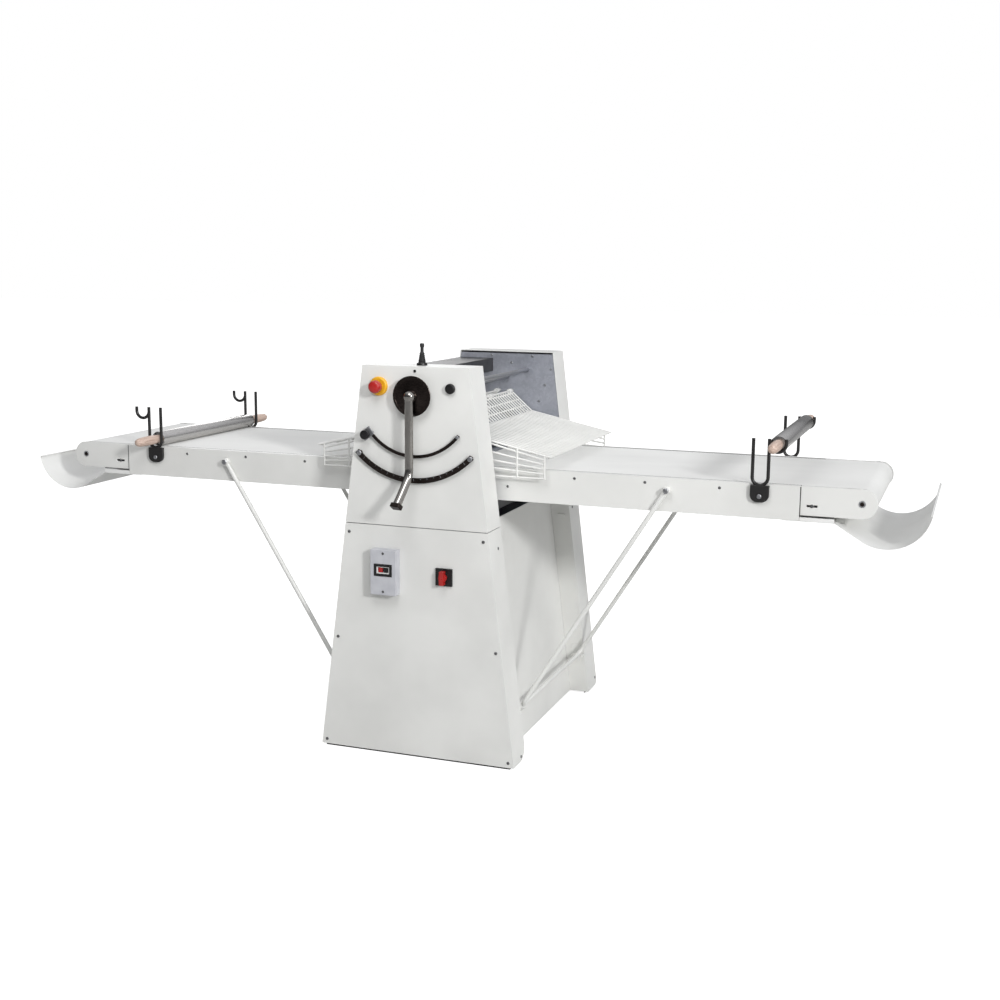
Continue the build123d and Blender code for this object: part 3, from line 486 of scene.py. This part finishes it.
dial = {"z": 1180.0}
control("scaleDial", [(12.1, 12), (24, 12), (24, 23.6), (25, 24), (61.6, 24), (63, 25), (63, 27),
                      (61.8, 28), (56, 28), (55.4, 27.5), (26, 27.5), (25, 28), (12.1, 28)],
        0, dial["z"], "lever", "dark_steel", ["dial"], True, 72)

lever = {"y": -529.0, "kneeZ": 932.0, "tip": (-14.5, -594.0, 848.0), "half": 14.0, "flat": 0.62,
         "over": 10.0, "legShares": (0.16, 0.3, 0.65, 1.0), "cap": (34.0, 24.0, 15.0), "capShare": 0.93}


def leverPoint(share):
    # along the lower leg, with the knee rounded and the depth stretched to allow for the flattening
    x, y, z = lever["tip"]
    depth = (y - lever["y"]) / lever["flat"]
    return (x * share, lever["y"] + depth * share, lever["kneeZ"] + (z - lever["kneeZ"]) * share)


knee = [(0, lever["y"], lever["kneeZ"] + 26), (-0.2, lever["y"] - 1.5, lever["kneeZ"] + 13),
        (-0.7, lever["y"] - 6, lever["kneeZ"] + 3)]
arm = [(0, lever["y"], dial["z"] - down) for down in (-lever["over"], 0, 60, 120, 180)]
leverBar = wires("thicknessLever", [arm + knee + [leverPoint(share) for share in lever["legShares"]]],
                 lever["half"], "lever", "stainless", ["lever"], 5)
for vert in leverBar.data.vertices:
    vert.co.y = mm(lever["y"]) + (vert.co.y - mm(lever["y"])) * lever["flat"]
kneePlace = Vector((0, lever["y"], lever["kneeZ"]))
leg = Vector(lever["tip"]) - kneePlace
slant = leg.to_track_quat("Z", "X").to_matrix().to_4x4() @ Matrix.Rotation(math.radians(90), 4, "Z")
bar("leverTip", lever["cap"], placeAt(*(kneePlace + leg * lever["capShare"]), slant), "lever",
    "dark_steel", 2.6)
control("leverElbow", [(18, 30), (19, 31), (19.4, 36), (18.6, 45), (16.2, 52), (12, 56.6), (6, 58.8),
                       (0, 59.4)], 0, dial["z"], "lever", "stainless")
dress("indexArcs", "index_arcs", "dark_steel", 0.5)

indexArc = {"depth": 12.0, "ends": {190.0: (50.0, 5.6), 266.0: (45.0, 8.2)}}  # radius: half angle, head
stop = {"radius": 206.0, "angle": -51.7, "clamp": (30.0, 40.0, 5.0), "clampRadius": 201.0, "clampDepth": 12.3}


def onArc(radius, degrees, depth=0.0):
    # a place under the dial's axis, depth millimetres out from the panel
    turn = math.radians(degrees)
    return (radius * math.sin(turn), housing["front"] - depth, dial["z"] - radius * math.cos(turn))


stopPlace = onArc(stop["radius"], stop["angle"])
control("stopKnob", [(0, 17.2), (12.4, 17.2), (14.6, 18), (15, 19.4), (15, 27.6), (14.2, 29.6), (12.6, 30.3),
                     (4, 30.3), (3.6, 29.8), (0, 29.8)], stopPlace[0], stopPlace[2], "stop", "black_plastic",
        ["stop_knob"])
acrossArc = Matrix.Rotation(-math.radians(stop["angle"]), 4, "Y") @ frontward
clampPlace = onArc(stop["clampRadius"], stop["angle"], stop["clampDepth"])
bar("stopClamp", stop["clamp"], placeAt(*clampPlace, acrossArc), "stop", "zinc_steel", 1.4, ["stop_knob"])

# bright end posts of both index arcs, and the pointer above the dial
for radius, (angle, head) in indexArc["ends"].items():
    places = [onArc(radius, side * angle, indexArc["depth"]) for side in (-1, 1)]
    screws("arcScrews" + str(int(radius)), places, head, 2.4, "stand", "zinc_steel")
screws("pointerScrew", [(0, housing["front"], 1256)], 4.5, 3.0, "stand", "black_plastic")

ticks = {"start": 259.0, "count": 17, "span": 80.0, "long": 9.0, "short": 5.0, "longEvery": 4}
tickPaths = []
for index in range(ticks["count"]):
    angle = -ticks["span"] / 2 + ticks["span"] * index / (ticks["count"] - 1)
    reach = ticks["long"] if index % ticks["longEvery"] == 0 else ticks["short"]
    tickPaths.append([onArc(radius, angle, indexArc["depth"])
                      for radius in (ticks["start"], ticks["start"] + reach)])
wires("scaleTicks", tickPaths, 0.45, "stand", "zinc_steel", resolution=0)

joystick = {"y": -425.0, "folds": 5, "foldZ": 1281.0, "foldRise": 29.0, "foldRadius": 12.2, "taper": 5.0}
boot = [(0, 1275), (11.8, 1275), (12.9, 1278)]
for index in range(joystick["folds"]):
    share = index / joystick["folds"]
    height = joystick["foldZ"] + joystick["foldRise"] * share
    radius = joystick["foldRadius"] - joystick["taper"] * share
    boot += [(radius - 1.4, height), (radius, height + 2.6), (radius - 0.4, height + 4.2)]
boot += [(5.6, 1311), (5.2, 1314), (5.2, 1326), (6.4, 1327.5), (7, 1329.5), (7, 1335.5), (6, 1338.4),
         (3, 1339), (0, 1339)]
turned("joystickBoot", boot, (0, joystick["y"], 0), "joystick", "black_rubber", ["joystick"])
turned("joystickNut", [(13.4, 1270), (17, 1270), (17, 1275.5), (16, 1277.6), (14, 1278), (13.4, 1277)],
       (0, joystick["y"], 0), "stand", "black_plastic", ["joystick_collar"], closed=True)

breaker = {"x": -97.0, "z": 615.0, "deep": 34.0, "screws": (-62, 62), "windowZ": 623.0, "windowDepth": 30.0}
dress("breakerBox", "breaker_box", "grey_plastic", 2.2)
dress("breakerStop", "breaker_stop_button", "red_plastic", 1.0)
dress("breakerStart", "breaker_start_button", "black_plastic", 1.0)
screws("breakerScrews", [(breaker["x"], housing["front"] - breaker["deep"], breaker["z"] + offset)
                         for offset in breaker["screws"]], 4.2, 1.4, "stand")


def frameStrip(name, halfX, halfZ, border, depth, thick, slotName):
    # a flat rectangular bezel on the breaker box: an inset face raised from the surface
    bm = bmesh.new()
    bmesh.ops.create_grid(bm, x_segments=1, y_segments=1, size=0.5)
    bmesh.ops.scale(bm, vec=mm(2 * halfX, 2 * halfZ, 1000), verts=bm.verts)
    face = bm.faces[:]
    bmesh.ops.inset_individual(bm, faces=face, thickness=mm(border), use_even_offset=True)
    bmesh.ops.delete(bm, geom=face, context="FACES")
    raised = movedVerts(bmesh.ops.extrude_face_region(bm, geom=bm.faces[:])["geom"])
    bmesh.ops.translate(bm, vec=mm(0, 0, thick), verts=raised)
    bmesh.ops.recalc_face_normals(bm, faces=bm.faces)
    bmesh.ops.transform(bm, verts=bm.verts, matrix=placeAt(breaker["x"], housing["front"] - depth,
                                                           breaker["windowZ"], frontward))
    roundEdges(finishPiece(name, meshFrom(bm, name), "stand", slotName), min(border, thick) * 0.3)


frameStrip("breakerBezel", 31, 20, 8.6, breaker["deep"], 1.6, "black_plastic")
frameStrip("breakerWindow", 22.2, 12.2, 3.8, breaker["windowDepth"], 2.6, "white_polymer")

dress("switchPlate", "switch_plate", "black_plastic", 1.4)
dress("switchGrip", "switch_knob", "red_plastic", 1.8)
print("controls")


table = {"foldX": 92.0, "endX": 1350.0, "axisZ": 902.0, "beltHalf": 295.0, "beltRadius": 42.5,
         "beltThick": 2.5, "sag": 7.0, "runSteps": 24, "turnSteps": 32, "railFace": 320.0, "railEnd": 1170.0}


def buildBelt(sideName, side):
    # a closed loop: top run, half turn, sagging bottom run, half turn
    bm = bmesh.new()
    outer = table["axisZ"] + table["beltRadius"]
    corners = [(-1, outer), (1, outer), (1, outer - table["beltThick"]), (-1, outer - table["beltThick"])]
    start = [bm.verts.new(mm(table["foldX"], half * table["beltHalf"], z)) for half, z in corners]
    edges = [bm.edges.new((start[index], start[index - 1])) for index in range(4)]
    moves = (("run", 1), ("turn", table["endX"]), ("run", -1), ("turn", table["foldX"]))
    for kind, value in moves:
        if kind == "run":
            length = value * (table["endX"] - table["foldX"])
            for step in range(table["runSteps"]):
                made = bmesh.ops.extrude_edge_only(bm, edges=edges)["geom"]
                bmesh.ops.translate(bm, vec=mm(length / table["runSteps"], 0, 0), verts=movedVerts(made))
                edges = farEdges(made)
        else:
            made = bmesh.ops.spin(bm, geom=edges, cent=mm(value, 0, table["axisZ"]), axis=(0, 1, 0),
                                  dvec=(0, 0, 0), angle=math.pi, steps=table["turnSteps"], use_merge=False)
            edges = [item for item in made["geom_last"] if isinstance(item, bmesh.types.BMEdge)]
    bmesh.ops.remove_doubles(bm, verts=bm.verts, dist=mm(0.05))
    for vert in bm.verts:
        share = (vert.co.x - mm(table["foldX"])) / mm(table["endX"] - table["foldX"])
        if vert.co.z < mm(table["axisZ"] - 30) and 0 < share < 1:
            vert.co.z -= mm(table["sag"]) * math.sin(math.pi * share)
    bmesh.ops.scale(bm, vec=(side, 1, 1), verts=bm.verts)
    bmesh.ops.recalc_face_normals(bm, faces=bm.faces)
    finishPiece(sideName + "BeltLoop", meshFrom(bm, "belt"), sideName + "_table", "white_belt",
                [sideName + "_belt"])


pan = {"centreX": 1420.0, "centreZ": 904.0, "radius": 132.0, "startX": 1273.0, "flatZ": 838.5,
       "innerX": 1120.0, "lipX": 1171.0, "lip": 13.5, "tip": 350.0, "half": 320.0, "thick": 1.5,
       "hem": 2.6, "hemRadius": 127.8, "hemHalf": 318.0}


def buildPan(sideName, side):
    # a formed sheet: a flat under the rails, a slope, and a trough that catches the flour
    away = math.hypot(pan["startX"] - pan["centreX"], pan["flatZ"] - pan["centreZ"])
    bearing = math.degrees(math.atan2(pan["flatZ"] - pan["centreZ"], pan["startX"] - pan["centreX"])) % 360
    tangent = bearing + math.degrees(math.acos(pan["radius"] / away))
    low = (pan["centreX"] + pan["radius"] * math.cos(math.radians(tangent)),
           pan["centreZ"] + pan["radius"] * math.sin(math.radians(tangent)))
    bm = bmesh.new()
    ends = [bm.verts.new(mm(pan["innerX"], y, pan["flatZ"])) for y in (-pan["half"], pan["half"])]
    edges = [bm.edges.new(ends)]
    last = (pan["innerX"], pan["flatZ"])
    for station in ((pan["lipX"], pan["flatZ"]), (pan["startX"], pan["flatZ"]), low):
        made = bmesh.ops.extrude_edge_only(bm, edges=edges)["geom"]
        bmesh.ops.translate(bm, vec=mm(station[0] - last[0], 0, station[1] - last[1]), verts=movedVerts(made))
        edges = farEdges(made)
        if station[0] == pan["startX"]:
            lipEdges = [edge for vert in movedVerts(made) for edge in vert.link_edges if edge not in edges]
        last = station
    bmesh.ops.spin(bm, geom=edges, cent=mm(pan["centreX"], 0, pan["centreZ"]), axis=(0, -1, 0),
                   dvec=(0, 0, 0), angle=math.radians(pan["tip"] - tangent), steps=44, use_merge=False)
    made = bmesh.ops.extrude_edge_only(bm, edges=lipEdges)["geom"]
    bmesh.ops.translate(bm, vec=mm(0, 0, pan["lip"]), verts=movedVerts(made))
    bmesh.ops.remove_doubles(bm, verts=bm.verts, dist=mm(0.02))
    bmesh.ops.recalc_face_normals(bm, faces=bm.faces)
    trough = max(bm.faces, key=lambda face: face.calc_center_median().x)
    if trough.normal.x > 0:  # the sheet thickens towards the trough's hollow
        bmesh.ops.reverse_faces(bm, faces=bm.faces)
    bmesh.ops.solidify(bm, geom=bm.faces[:], thickness=mm(-pan["thick"]))
    bmesh.ops.scale(bm, vec=(side, 1, 1), verts=bm.verts)
    bmesh.ops.recalc_face_normals(bm, faces=bm.faces)
    piece = finishPiece(sideName + "FlourPan", meshFrom(bm, "pan", 30), sideName + "_table",
                        "white_polymer", [sideName + "_catch_pan"])
    roundEdges(piece, 0.4, 1)
    tip = arcPoints((pan["centreX"], pan["centreZ"]), pan["hemRadius"], pan["tip"], pan["tip"], 0, 1)[0]
    hem = [(side * tip[0], y, tip[2]) for y in (-pan["hemHalf"], pan["hemHalf"])]
    wires(sideName + "PanHem", [hem], pan["hem"], sideName + "_table", "white_polymer", resolution=3)


bail = {"pivot": (770.0, 908.0), "foot": (309.0, 164.0), "half": 331.5, "radius": 7.5, "bend": 30.0,
        "bendSteps": 8, "flatTo": 58.0, "flatOver": 36.0, "flatBy": 0.3}


def buildBail(sideName, side):
    # one bent tube, pressed flat round the eye at each end
    leanX, leanZ = bail["foot"][0] - bail["pivot"][0], bail["foot"][1] - bail["pivot"][1]
    length = math.hypot(leanX, leanZ)
    along = (leanX / length, leanZ / length)
    path = []
    for end in (-1, 1):
        leg = [(bail["pivot"][0] + along[0] * reach, end * bail["half"], bail["pivot"][1] + along[1] * reach)
               for reach in (6, 24, 60)]
        for step in range(bail["bendSteps"] + 1):
            turn = math.radians(90 * step / bail["bendSteps"])
            reach = length - bail["bend"] + bail["bend"] * math.sin(turn)
            inset = bail["bend"] * (1 - math.cos(turn))
            leg.append((bail["pivot"][0] + along[0] * reach, end * (bail["half"] - inset),
                        bail["pivot"][1] + along[1] * reach))
        path += leg if end == -1 else leg[::-1]
    piece = wires(sideName + "BailTube", [mirrored(path, side)], bail["radius"], sideName + "_bail",
                  "white_enamel", [sideName + "_bail"], 4)
    pivot = Vector(mm(side * bail["pivot"][0], 0, bail["pivot"][1]))
    for vert in piece.data.vertices:
        reach = (Vector((vert.co.x, 0, vert.co.z)) - pivot).length
        if reach < mm(bail["flatTo"]):
            flat = max(0.0, min(1.0, (mm(bail["flatTo"]) - reach) / mm(bail["flatOver"])))
            centre = mm(bail["half"]) * (1 if vert.co.y > 0 else -1)
            vert.co.y = centre + (vert.co.y - centre) * (1 - bail["flatBy"] * flat)
    eye = [(5.1, -5.6), (10.6, -5.6), (12, -4.2), (12, 4.2), (10.6, 5.6), (5.1, 5.6)]
    matrices = [placeAt(side * bail["pivot"][0], end * bail["half"], bail["pivot"][1], frontward)
                for end in (-1, 1)]
    copies(sideName + "BailEyes", eye, matrices, sideName + "_bail", "white_enamel", steps=32, closed=True)


holder = {"prongs": (1028.0, 1075.0, 1124.5), "top": 1082.0, "radius": 5.3, "face": 327.3,
          "forkZ": 965.0, "hookZ": 1068.0, "footBottom": 890.0, "foot": (57.0, 51.5, 12.6),
          "footCorner": 22.0, "boltZ": 908.0}


def buildHolders(sideName, side):
    inner, middle, outer = holder["prongs"]
    forkRadius, hookRadius = (middle - inner) / 2, (outer - middle) / 2
    paths = []
    for end in (-1, 1):
        y = end * holder["face"]
        fork = [(inner, y, holder["top"])]
        fork += arcPoints(((inner + middle) / 2, holder["forkZ"]), forkRadius, 180, 360, y, 18)
        fork += [(middle, y, holder["top"])]
        hook = arcPoints(((outer + middle) / 2, holder["hookZ"]), hookRadius, 184, 360, y, 18)
        hook += [(outer, y, holder["top"])]
        paths += [mirrored(fork, side), mirrored(hook, side)]
    wires(sideName + "HolderForks", paths, holder["radius"], sideName + "_table", "black_enamel",
          [sideName + "_pin_holders"], 4)
    tips = [placeAt(side * x, end * holder["face"], holder["top"] - 0.1) for end in (-1, 1)
            for x in holder["prongs"]]
    copies(sideName + "HolderTips", [(0, -2), (5.35, -2), (5.25, -1.0), (5.2, -0.4), (4.6, 0.1), (0, 0.1)],
           tips, sideName + "_table", "black_enamel")
    # the cast foot that the fork is welded into: a rounded plate under the U
    bm = bmesh.new()
    centreX = (inner + middle) / 2
    for end, turn in ((-1, frontward), (1, backward)):
        plate(bm, *holder["foot"], placeAt(side * centreX, end * table["railFace"],
                                           holder["footBottom"] + holder["foot"][1] / 2, turn))
    low = [edge for edge in bm.edges if abs(edge.verts[0].co.y - edge.verts[1].co.y) > mm(8)
           and edge.verts[0].co.z < mm(holder["footBottom"] + 2)]
    bmesh.ops.recalc_face_normals(bm, faces=bm.faces)
    bmesh.ops.bevel(bm, geom=low, offset=mm(holder["footCorner"]), affect="EDGES", segments=10, profile=0.5,
                    material=-1)
    piece = finishPiece(sideName + "HolderFeet", meshFrom(bm, "feet"), sideName + "_table", "black_enamel")
    roundEdges(piece, 2.2, 3)
    for label, end, turn in (("Front", -1, frontward), ("Rear", 1, backward)):
        screws(sideName + label + "HolderBolt",
               [(side * centreX, end * (table["railFace"] + holder["foot"][2] - 0.2), holder["boltZ"])],
               7.5, 3.4, sideName + "_table", "zinc_steel", turn=turn)


pins = {"left": (-1051.5, 970.3), "right": (1099.75, 1065.05), "tube": 25.0, "half": 312.0, "end": 440.0}


def buildPin(sideName):
    x, z = pins[sideName]
    radius, half, end = pins["tube"], pins["half"], pins["end"]
    tube = [(9, -half), (radius - 2.5, -half), (radius - 0.6, -half + 0.5), (radius, -half + 2.6),
            (radius, half - 2.6), (radius - 0.6, half - 0.5), (radius - 2.5, half), (9, half)]
    turned(sideName + "PinTube", tube, (x, 0, z), sideName + "_pin", "stainless",
           [sideName + "_pin_tube"], backward, 64, True, pinSteel)
    grip = [(0, half - 12), (9, half - 12), (9, half), (13.2, half), (14, half + 1), (15.2, half + 14),
            (16.5, half + 44), (16.3, half + 76), (15.2, half + 104), (14.2, half + 115),
            (11.6, half + 123), (7.5, end - 1.4), (3, end), (0, end)]
    matrices = [placeAt(x, 0, z, backward), placeAt(x, 0, z, frontward)]
    copies(sideName + "PinGrips", grip, matrices, sideName + "_pin", "beech",
           [sideName + "_pin_handles"], 48)


guard = {"hinge": (25.0, 1126.0), "bend": (105.0, 1056.0), "tip": (408.0, 990.4), "half": 347.5,
         "rows": 28, "radius": 2.8, "sideRadius": 3.2, "edgeRadius": 3.6, "lowZ": 922.0,
         "sideX": (62.0, 386.0), "sideY": 348.6, "rods": 5, "posts": (62.0, 180.0, 293.0, 383.5),
         "edgeY": 349.0, "edgeEnd": 402.0, "hingeHalf": 372.0, "clamps": (-335, -120, 120, 335)}
roundBend = (92, 99, 105.01, 113)  # where a long rod has points, to pass smoothly over the roof's bend


def guardTop(x):
    # height of the guard's roof line at x
    first, second = (guard["hinge"], guard["bend"])
    if x > guard["bend"][0]:
        first, second = guard["bend"], guard["tip"]
    share = (x - first[0]) / (second[0] - first[0])
    return first[1] + share * (second[1] - first[1])


def buildGuard(sideName, side):
    # welded wire: long rods over cross rods, and a fanned grid at each side
    paths = []
    pitch = 2 * guard["half"] / guard["rows"]
    for row in range(guard["rows"] + 1):
        y = -guard["half"] + pitch * row
        paths.append([(x, y, guardTop(x)) for x in (guard["hinge"][0] + 4, *roundBend, guard["tip"][0])])
    under = guard["radius"] * 1.7
    crossings = [guard["hinge"][0] + 6 + 72 * index / 3 for index in range(3)]
    crossings += [guard["bend"][0] + 6 + (guard["tip"][0] - guard["bend"][0] - 18) * index / 5
                  for index in range(6)]
    for x in crossings:
        paths.append([(x, -guard["half"], guardTop(x) - under), (x, guard["half"], guardTop(x) - under)])
    sidePaths, edgePaths = [], []
    for end in (-1, 1):
        y = end * guard["sideY"]
        for index in range(1, guard["rods"] + 1):
            share = index / guard["rods"]
            sidePaths.append([(x, y, guardTop(x) + share * (guard["lowZ"] - guardTop(x)))
                              for x in guard["sideX"]])
        for x in guard["posts"]:
            sidePaths.append([(x, y + end * 1.2, guardTop(x)), (x, y + end * 1.2, guard["lowZ"])])
        edgePaths.append([(x, end * guard["edgeY"], guardTop(x) - 0.6)
                          for x in (guard["hinge"][0], *roundBend, guard["edgeEnd"])])
    hingeX, hingeZ = guard["hinge"]
    edgePaths.append([(hingeX, y, hingeZ) for y in (-guard["hingeHalf"], guard["hingeHalf"])])
    for label, rods, radius, replaced, resolution in (
            ("Sides", sidePaths, guard["sideRadius"], [sideName + "_guard"], 2),
            ("Wires", paths, guard["radius"], [sideName + "_guard"], 2),
            ("Frame", edgePaths, guard["edgeRadius"], (), 3)):
        wires(sideName + "Guard" + label, [mirrored(rod, side) for rod in rods], radius, sideName + "_guard",
              "white_enamel", replaced, resolution)
    clamp = [(3.7, -14), (8, -14), (8.4, -13), (8.4, 13), (8, 14), (3.7, 14)]
    places = [placeAt(side * hingeX, y, hingeZ, backward) for y in guard["clamps"]]
    copies(sideName + "GuardClamps", clamp, places, sideName + "_guard", "white_enamel", steps=32,
           closed=True)


shadowBead = {"radius": 1.5, "startX": 66.0, "beltY": 298.6, "beltZ": 943.9, "jointY": 318.4, "jointTop": 943.0,
        "jointZ": 856.0, "jointEndX": 1272.0}
railScrews = [(252, 886), (473, 925), (699, 927), (930, 925)]
tablePieces = [("Rails", "rails", "white_enamel", 1.0), ("SliderBed", "bed", "zinc_steel", 0.5),
               ("EndBrackets", "end_brackets", "white_enamel", 0.9),
               ("DriveRoller", "drive_roller", "roller_aluminium", 0.8),
               ("EndRoller", "end_roller", "roller_aluminium", 0.8)]


def buildShadowBeads(sideName, side):
    # black beads that paint shade: in the gap beside the belt, and a painted shadow line round the joint of
    # each end bracket
    paths = []
    for end in (-1, 1):
        joint = table["railEnd"] + 1.4
        paths.append([(side * x, end * shadowBead["beltY"], shadowBead["beltZ"]) for x in (shadowBead["startX"], 500, joint)])
        paths.append([(side * x, end * shadowBead["jointY"], z) for x, z in (
            (joint, shadowBead["jointTop"]), (joint, shadowBead["jointZ"]), (shadowBead["jointEndX"], shadowBead["jointZ"]))])
    wires(sideName + "ShadowBeads", paths, shadowBead["radius"], sideName + "_table", "black_rubber", resolution=1)


def buildTable(sideName, side):
    for label, nodeName, slotName, width in tablePieces:
        dress(sideName + label, sideName + "_" + nodeName, slotName, width)
    buildBelt(sideName, side)
    buildPan(sideName, side)
    buildBail(sideName, side)
    buildHolders(sideName, side)
    buildShadowBeads(sideName, side)
    buildPin(sideName)
    buildGuard(sideName, side)
    body = sideName + "_table"
    for end, turn, label in ((-1, frontward, "Front"), (1, backward, "Rear")):
        face = end * table["railFace"]
        screws(sideName + label + "RailScrews", [(side * x, face, z) for x, z in railScrews], 4.6, 1.6,
               body, "screw_steel", turn=turn)
        screws(sideName + label + "PivotBolt", [(side * bail["pivot"][0], end * 343.4, bail["pivot"][1])],
               9.0, 3.0, body, "zinc_steel", turn=turn)
        screws(sideName + label + "AdjusterBolt", [(side * 1206, end * 317.5, 886.5)], 5.6, 2.4, body,
               "screw_steel", turn=turn)
        screws(sideName + label + "AxleScrew", [(side * table["endX"], end * 318.5, table["axisZ"])],
               6.5, 1.4, sideName + "_end_roller", "dark_steel", turn=turn)


for sideName, side in sides.items():
    buildTable(sideName, side)
    print("table", sideName)


stage = {"halfSize": 40.0, "floor": ("#BCBCBA", "#C2C2C0"), "glow": 0.9, "bounce": 0.02,
         "sky": (0.1, 0.86), "skyLean": (0.35, 0.1, 0.93)}
lights = {"keyLight": ((7.5, -6.4, 4.2), 1.1, 505.0, (0, -0.3, 0.9)),  # place, size, power and aim
          "headLight": ((0.3, -1.7, 2.4), 0.9, 12.0, (0, -0.45, 1.05)),
          "backLight": ((-4.0, 6.5, 3.6), 3.0, 60.0, (0, 0.3, 0.8))}
camera = {"place": (1.6825, -4.3774, 1.5916), "turn": 19.75, "down": 9.89, "roll": 0.51, "lens": 49.18}

bm = bmesh.new()
bmesh.ops.create_grid(bm, x_segments=1, y_segments=1, size=stage["halfSize"])
floorMesh = bpy.data.meshes.new("floor")
bm.to_mesh(floorMesh)
bm.free()
floor = bpy.data.objects.new("floor", floorMesh)
bpy.context.scene.collection.objects.link(floor)
material, tree, shader, place, noises = newMaterial(
    "paleStudioFloor", {"Roughness": 0.9, "Emission Color": linear("#FFFFFF")}, {"patches": (900, 2, evenly)})
patches = addNode(tree, "ShaderNodeValToRGB", links={"Fac": noises["patches"]},
                  tones=((0.3, stage["floor"][0]), (0.7, stage["floor"][1])))
tree.links.new(patches.outputs["Color"], shader.inputs["Base Color"])
seenByEye = addNode(tree, "ShaderNodeLightPath").outputs["Is Camera Ray"]  # white to the eye, little bounce
glow = addNode(tree, "ShaderNodeMapRange", values={"To Min": stage["bounce"], "To Max": stage["glow"]},
               links={"Value": seenByEye})
tree.links.new(glow.outputs["Result"], shader.inputs["Emission Strength"])
floorMesh.materials.append(material)

scene = bpy.context.scene
scene.view_settings.view_transform = "Standard"
world = bpy.data.worlds.new("studio")
scene.world = world
world.use_nodes = True
sky = world.node_tree
sky.nodes.clear()
seen = addNode(sky, "ShaderNodeBackground", values={"Color": linear("#FFFFFF"), "Strength": 1.0})
towards = addNode(sky, "ShaderNodeVectorMath", {"operation": "DOT_PRODUCT"}, {1: stage["skyLean"]},
                  {0: addNode(sky, "ShaderNodeTexCoord").outputs["Generated"]})
dome = addNode(sky, "ShaderNodeMapRange", {"interpolation_type": "SMOOTHSTEP"},
               {"From Min": -0.1, "From Max": 0.9, "To Min": stage["sky"][0], "To Max": stage["sky"][1]},
               {"Value": towards.outputs["Value"]})
lit = addNode(sky, "ShaderNodeBackground", values={"Color": linear("#FBFCFF")},
              links={"Strength": dome.outputs["Result"]})
ray = addNode(sky, "ShaderNodeLightPath")
mixed = addNode(sky, "ShaderNodeMixShader", links={0: ray.outputs["Is Camera Ray"],
                                                   1: lit.outputs["Background"],
                                                   2: seen.outputs["Background"]})
addNode(sky, "ShaderNodeOutputWorld", links={"Surface": mixed.outputs["Shader"]})

for name, (place, size, power, aim) in lights.items():
    light = bpy.data.lights.new(name, "AREA")
    light.size = size
    light.energy = power
    lamp = bpy.data.objects.new(name, light)
    scene.collection.objects.link(lamp)
    lamp.location = place
    lamp.rotation_euler = (Vector(aim) - Vector(place)).to_track_quat("-Z", "Y").to_euler()

eye = bpy.data.cameras.new("camera")
eye.lens = camera["lens"]
eye.sensor_width = 36.0
eyeObject = bpy.data.objects.new("camera", eye)
scene.collection.objects.link(eyeObject)
eyeObject.matrix_world = (Matrix.Translation(camera["place"])
                          @ Matrix.Rotation(math.radians(camera["turn"]), 4, "Z")
                          @ Matrix.Rotation(math.radians(90 - camera["down"]), 4, "X")
                          @ Matrix.Rotation(math.radians(camera["roll"]), 4, "Z"))
scene.camera = eyeObject

bpy.context.view_layer.update()
